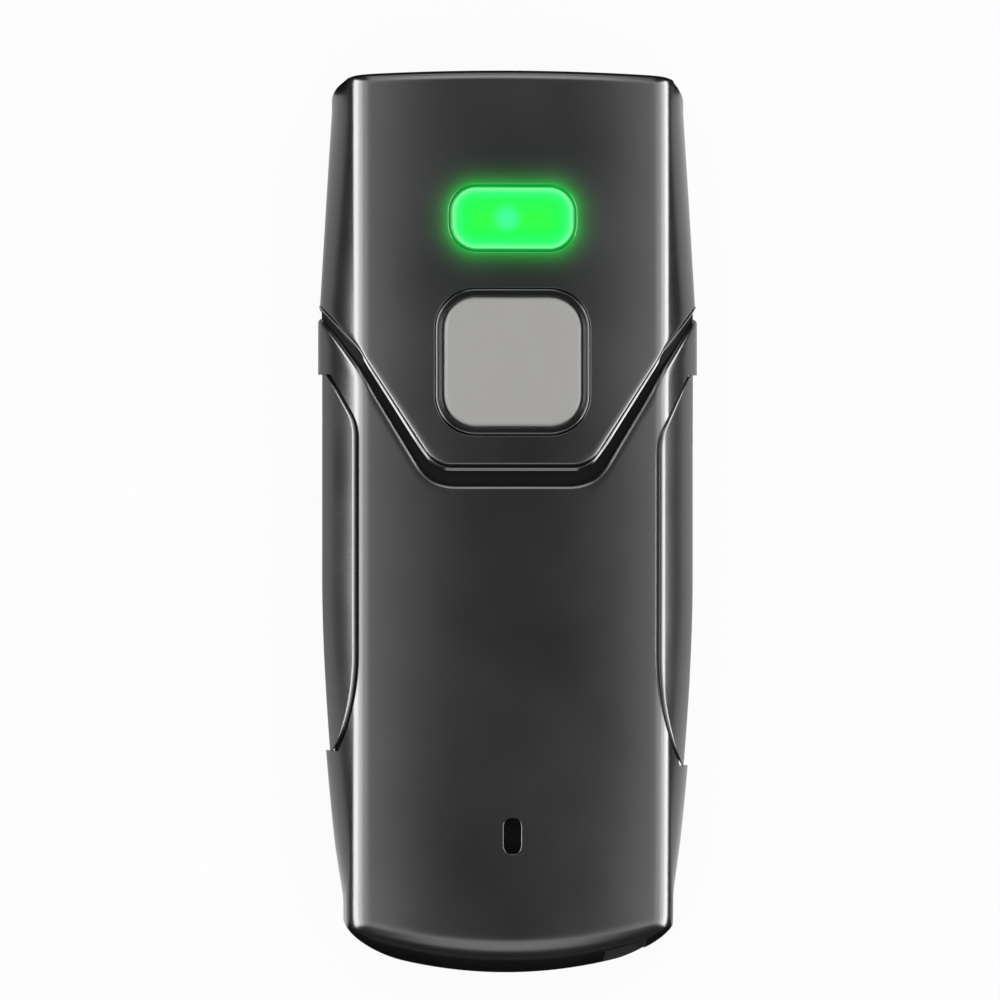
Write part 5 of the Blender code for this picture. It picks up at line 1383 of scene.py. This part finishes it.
def window_tool():
    """The tool for the window's opening, turned onto the front wall."""
    tool = upright("window_tool", rounded_rectangle(
        WINDOW_HALF[0] + FRAME_BORDER + BOND, WINDOW_HALF[1] + FRAME_BORDER + BOND,
        WINDOW_CORNER + FRAME_BORDER + BOND), -2 * TOOL_REACH, TOOL_REACH)
    tool.data.transform(WINDOW_PLACE)
    return tool


def bottom_shell():
    """The tray: two faces, the lip and the bosses joined on, and the openings cut."""
    tray = closed_shell("bottom_tray", shell_face(SHELL), shell_face(inset(SHELL, WALL)))
    outer, inner = WALL - LIP_ROOT, WALL - LIP_ROOT + LIP_THICK
    low, high = SHELL_BASE - LIP_DEEP, COVER_BASE + LIP_RISE
    corners = ((outer, low), (outer, high), (inner, high), (inner, low))
    lip = ring_solid("tray_lip", np.stack([shell_rim(depth, z) for depth, z in corners]))
    carve(lip, upright("strap_space", pocket_outline(POCKET_WALL + GAP), 0.0, HEIGHT))
    bosses = joined(*(upright("tray_boss", circle(x, y, BOSS_RADIUS), 0.0, SHELL_BASE - BOND)
                      for x, y in SCREW_PLACES))
    room = shell_face(inset(SHELL, WALL / 2))
    carve(bosses, closed_shell("tray_room", room, room * (1, 1, 0) + (0, 0, SHELL_BASE)), "INTERSECT")
    carve(tray, lip, "UNION")
    carve(tray, bosses, "UNION")
    carve(tray, joined(*(sink_tool(x, y) for x, y in SCREW_PLACES)))
    carve(tray, window_tool())
    edge = wall_y(SHELL.tail, USB_MIDDLE_Z)
    mouth_grow = [TOOL_REACH, SOCKET_EDGE + GAP, GAP, GAP]
    mouth_y = [edge - TOOL_REACH, edge - SOCKET_EDGE, edge + SOCKET_EDGE, usb_high.y + GAP]
    carve(tray, loft("socket_tool", along_depth(rings(USB, mouth_grow), mouth_y)))
    return tray


bottom_tray = dress(bottom_shell(), "satin_black_plastic", "housing", "bottom_shell")

# %% [markdown]
# ## Scan window, case screws and charging socket
# The window is a polished frame with a bevelled inner edge and a dark red pane behind it. The case screws
# are turned: a domed head with a hexagonal drive, and a threaded shank. The charging socket is a drawn
# metal can, folded back on itself at the mouth.

# %% Window, screws and socket
FRAME_BEVEL = 0.35 * MM
PANE_EDGE = 0.15 * MM
DRIVE_RADIUS = 0.8 * MM
DRIVE_DEPTH = 0.8 * MM
THREAD_PITCH = 0.8 * MM
THREAD_DEPTH = 0.18 * MM
THREAD_STEPS = 8
HEAD_TURN = np.linspace(0.0, np.pi / 2, 7)
FOLD_TURN = np.linspace(0.0, np.pi, 7)
SOCKET_SHEET = 0.3 * MM
SOCKET_FOLD = 0.12 * MM


def window_frame():
    """A flat ring with soft outer edges and a bevel that leads in to the pane."""
    face, back = -FRAME_SUNK, -FRAME_SUNK - FRAME_THICK
    soft = FRAME_BEVEL / 2
    grow = [FRAME_BORDER, FRAME_BORDER, FRAME_BORDER - soft, FRAME_BEVEL, 0.0, 0.0]
    lift = [back, face - soft, face, face, face - FRAME_BEVEL, back]
    ring = ring_solid("window_ring", raised(rings(WINDOW, grow), 0.0, lift))
    ring.data.transform(WINDOW_PLACE)
    return ring


def window_pane():
    """A flat plate with eased edges, behind the frame."""
    face = -FRAME_SUNK - FRAME_THICK - BOND
    back = face - PANE_THICK
    border = FRAME_BORDER - BOND
    grow = [border - PANE_EDGE, border, border, border - PANE_EDGE]
    lift = [back, back + PANE_EDGE, face - PANE_EDGE, face]
    plate = carried("window_pane", WINDOW, grow, lift)
    plate.data.transform(WINDOW_PLACE)
    return plate


def hexagonal(x, y):
    """A loop round the drive: a hexagon's edge lies at cos 30 over the cosine of the angle from the middle
    of the nearest side, as a share of its radius."""
    side = np.pi / 3
    reach = math.cos(side / 2) / np.cos((ROUND_ANGLE % side) - side / 2)
    hub = circle(x, y)
    return hub.middle + DRIVE_RADIUS * reach[:, None] * hub.heading


def case_screw(name, x, y):
    """A turned screw, head down: drive, domed head, neck, and a shank whose radius is a row of thread
    waves."""
    flat = hexagonal(x, y)[None]
    drive = raised(np.concatenate([flat, flat]), 0.0, [SCREW_LOW + DRIVE_DEPTH, SCREW_LOW])
    soft = SCREW_HEAD_HEIGHT / 3
    head_r = [*(SCREW_HEAD_RADIUS - soft * (1 - np.sin(HEAD_TURN))), SCREW_HEAD_RADIUS, SCREW_RADIUS]
    head_z = [*(SCREW_LOW + soft * (1 - np.cos(HEAD_TURN))), SCREW_SEAT - BOND, SCREW_SEAT - BOND]
    waves = int((SCREW_TIP - COVER_BASE + THREAD_PITCH) / THREAD_PITCH)
    phase = np.linspace(0.0, waves, waves * THREAD_STEPS + 1)
    shank_z = SCREW_TIP - (waves - phase) * THREAD_PITCH
    shank_r = SCREW_RADIUS - THREAD_DEPTH * (1 - np.cos(2 * np.pi * phase)) / 2
    radius = np.concatenate([head_r, shank_r])
    shaft = raised(rings(circle(x, y), radius), 0.0, np.concatenate([head_z, shank_z]))
    return loft(name, np.concatenate([drive, shaft]))


def socket_can():
    """A can along y: outer wall, rounded mouth, inner wall and a floor inside."""
    lip_grow = -SOCKET_SHEET / 2 * (1 - np.cos(FOLD_TURN))
    lip_y = usb_low.y + SOCKET_FOLD * (1 - np.sin(FOLD_TURN))
    grow = [-SOCKET_FOLD, 0.0, *lip_grow, -SOCKET_SHEET]
    y = [usb_high.y, usb_high.y - SOCKET_FOLD, *lip_y, usb_high.y - SOCKET_SHEET]
    return loft("socket_can", along_depth(rings(USB, grow), y))


dress(window_frame(), "gloss_black_plastic", "housing", "window_frame")
dress(window_pane(), "window_plastic", "housing", "scan_window")
for count, place in enumerate(SCREW_PLACES, start=1):
    dress(case_screw(f"turned_screw_{count}", *place), "black_steel", "housing", f"case_screw_{count}")
dress(socket_can(), "bright_steel", "housing", "usb_socket")

# %% [markdown]
# ## What the case hides
# The board, the scan engine, the battery and their small parts keep their solids. Each gets the finish of
# its slot in the record, but the sound mesh gets the seam channel's near-black finish, which paints the
# shade inside the sound slot. The snap dome under the switch's plunger is thin sprung metal, which
# flattens onto its rim as the plunger goes down. Here it is built at rest, as a parabola turned about its
# axis.

# %% Snap dome
DOME_SHEET = 0.1 * MM
DOME_STEPS = 14
DOME_CORE = 0.1
dome_low, dome_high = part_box("snap_dome")
DOME_MIDDLE = (dome_low + dome_high) / 2


def dome():
    """A thin shell: the parabola z = rise (1 - (r / rim)^2) on the way out, and back in a sheet higher."""
    rim = (dome_high.x - dome_low.x) / 2
    rise = dome_high.z - dome_low.z
    share = np.linspace(DOME_CORE, 1.0, DOME_STEPS)
    radius = np.concatenate([(rim - DOME_SHEET) * share, rim * share[::-1]])
    height = np.concatenate([(rise - DOME_SHEET) * (1 - share ** 2), rise * (1 - share[::-1] ** 2)])
    return carried("snap_disc", circle(DOME_MIDDLE.x, DOME_MIDDLE.y), radius, height, dome_low.z)


snap_disc = dress(dome(), "bright_steel", "housing", "snap_dome")
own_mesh(snap_disc)

# %% Finishes of the carried solids
# painted shade: the sound mesh takes the near-black finish instead of its slot's, so the slot behind it
# reads as shaded
PAINTED_SHADE_OF = {"sound_mesh": "painted_shade_black"}
shown = [name for name, node in frame["nodes"].items() if not node.hide_render]
for name in shown:
    solid = frame["nodes"][name]
    solid.data.materials.clear()
    solid.data.materials.append(finish(PAINTED_SHADE_OF.get(name, SLOT_OF[name])))
print("carried solids:", len(shown))
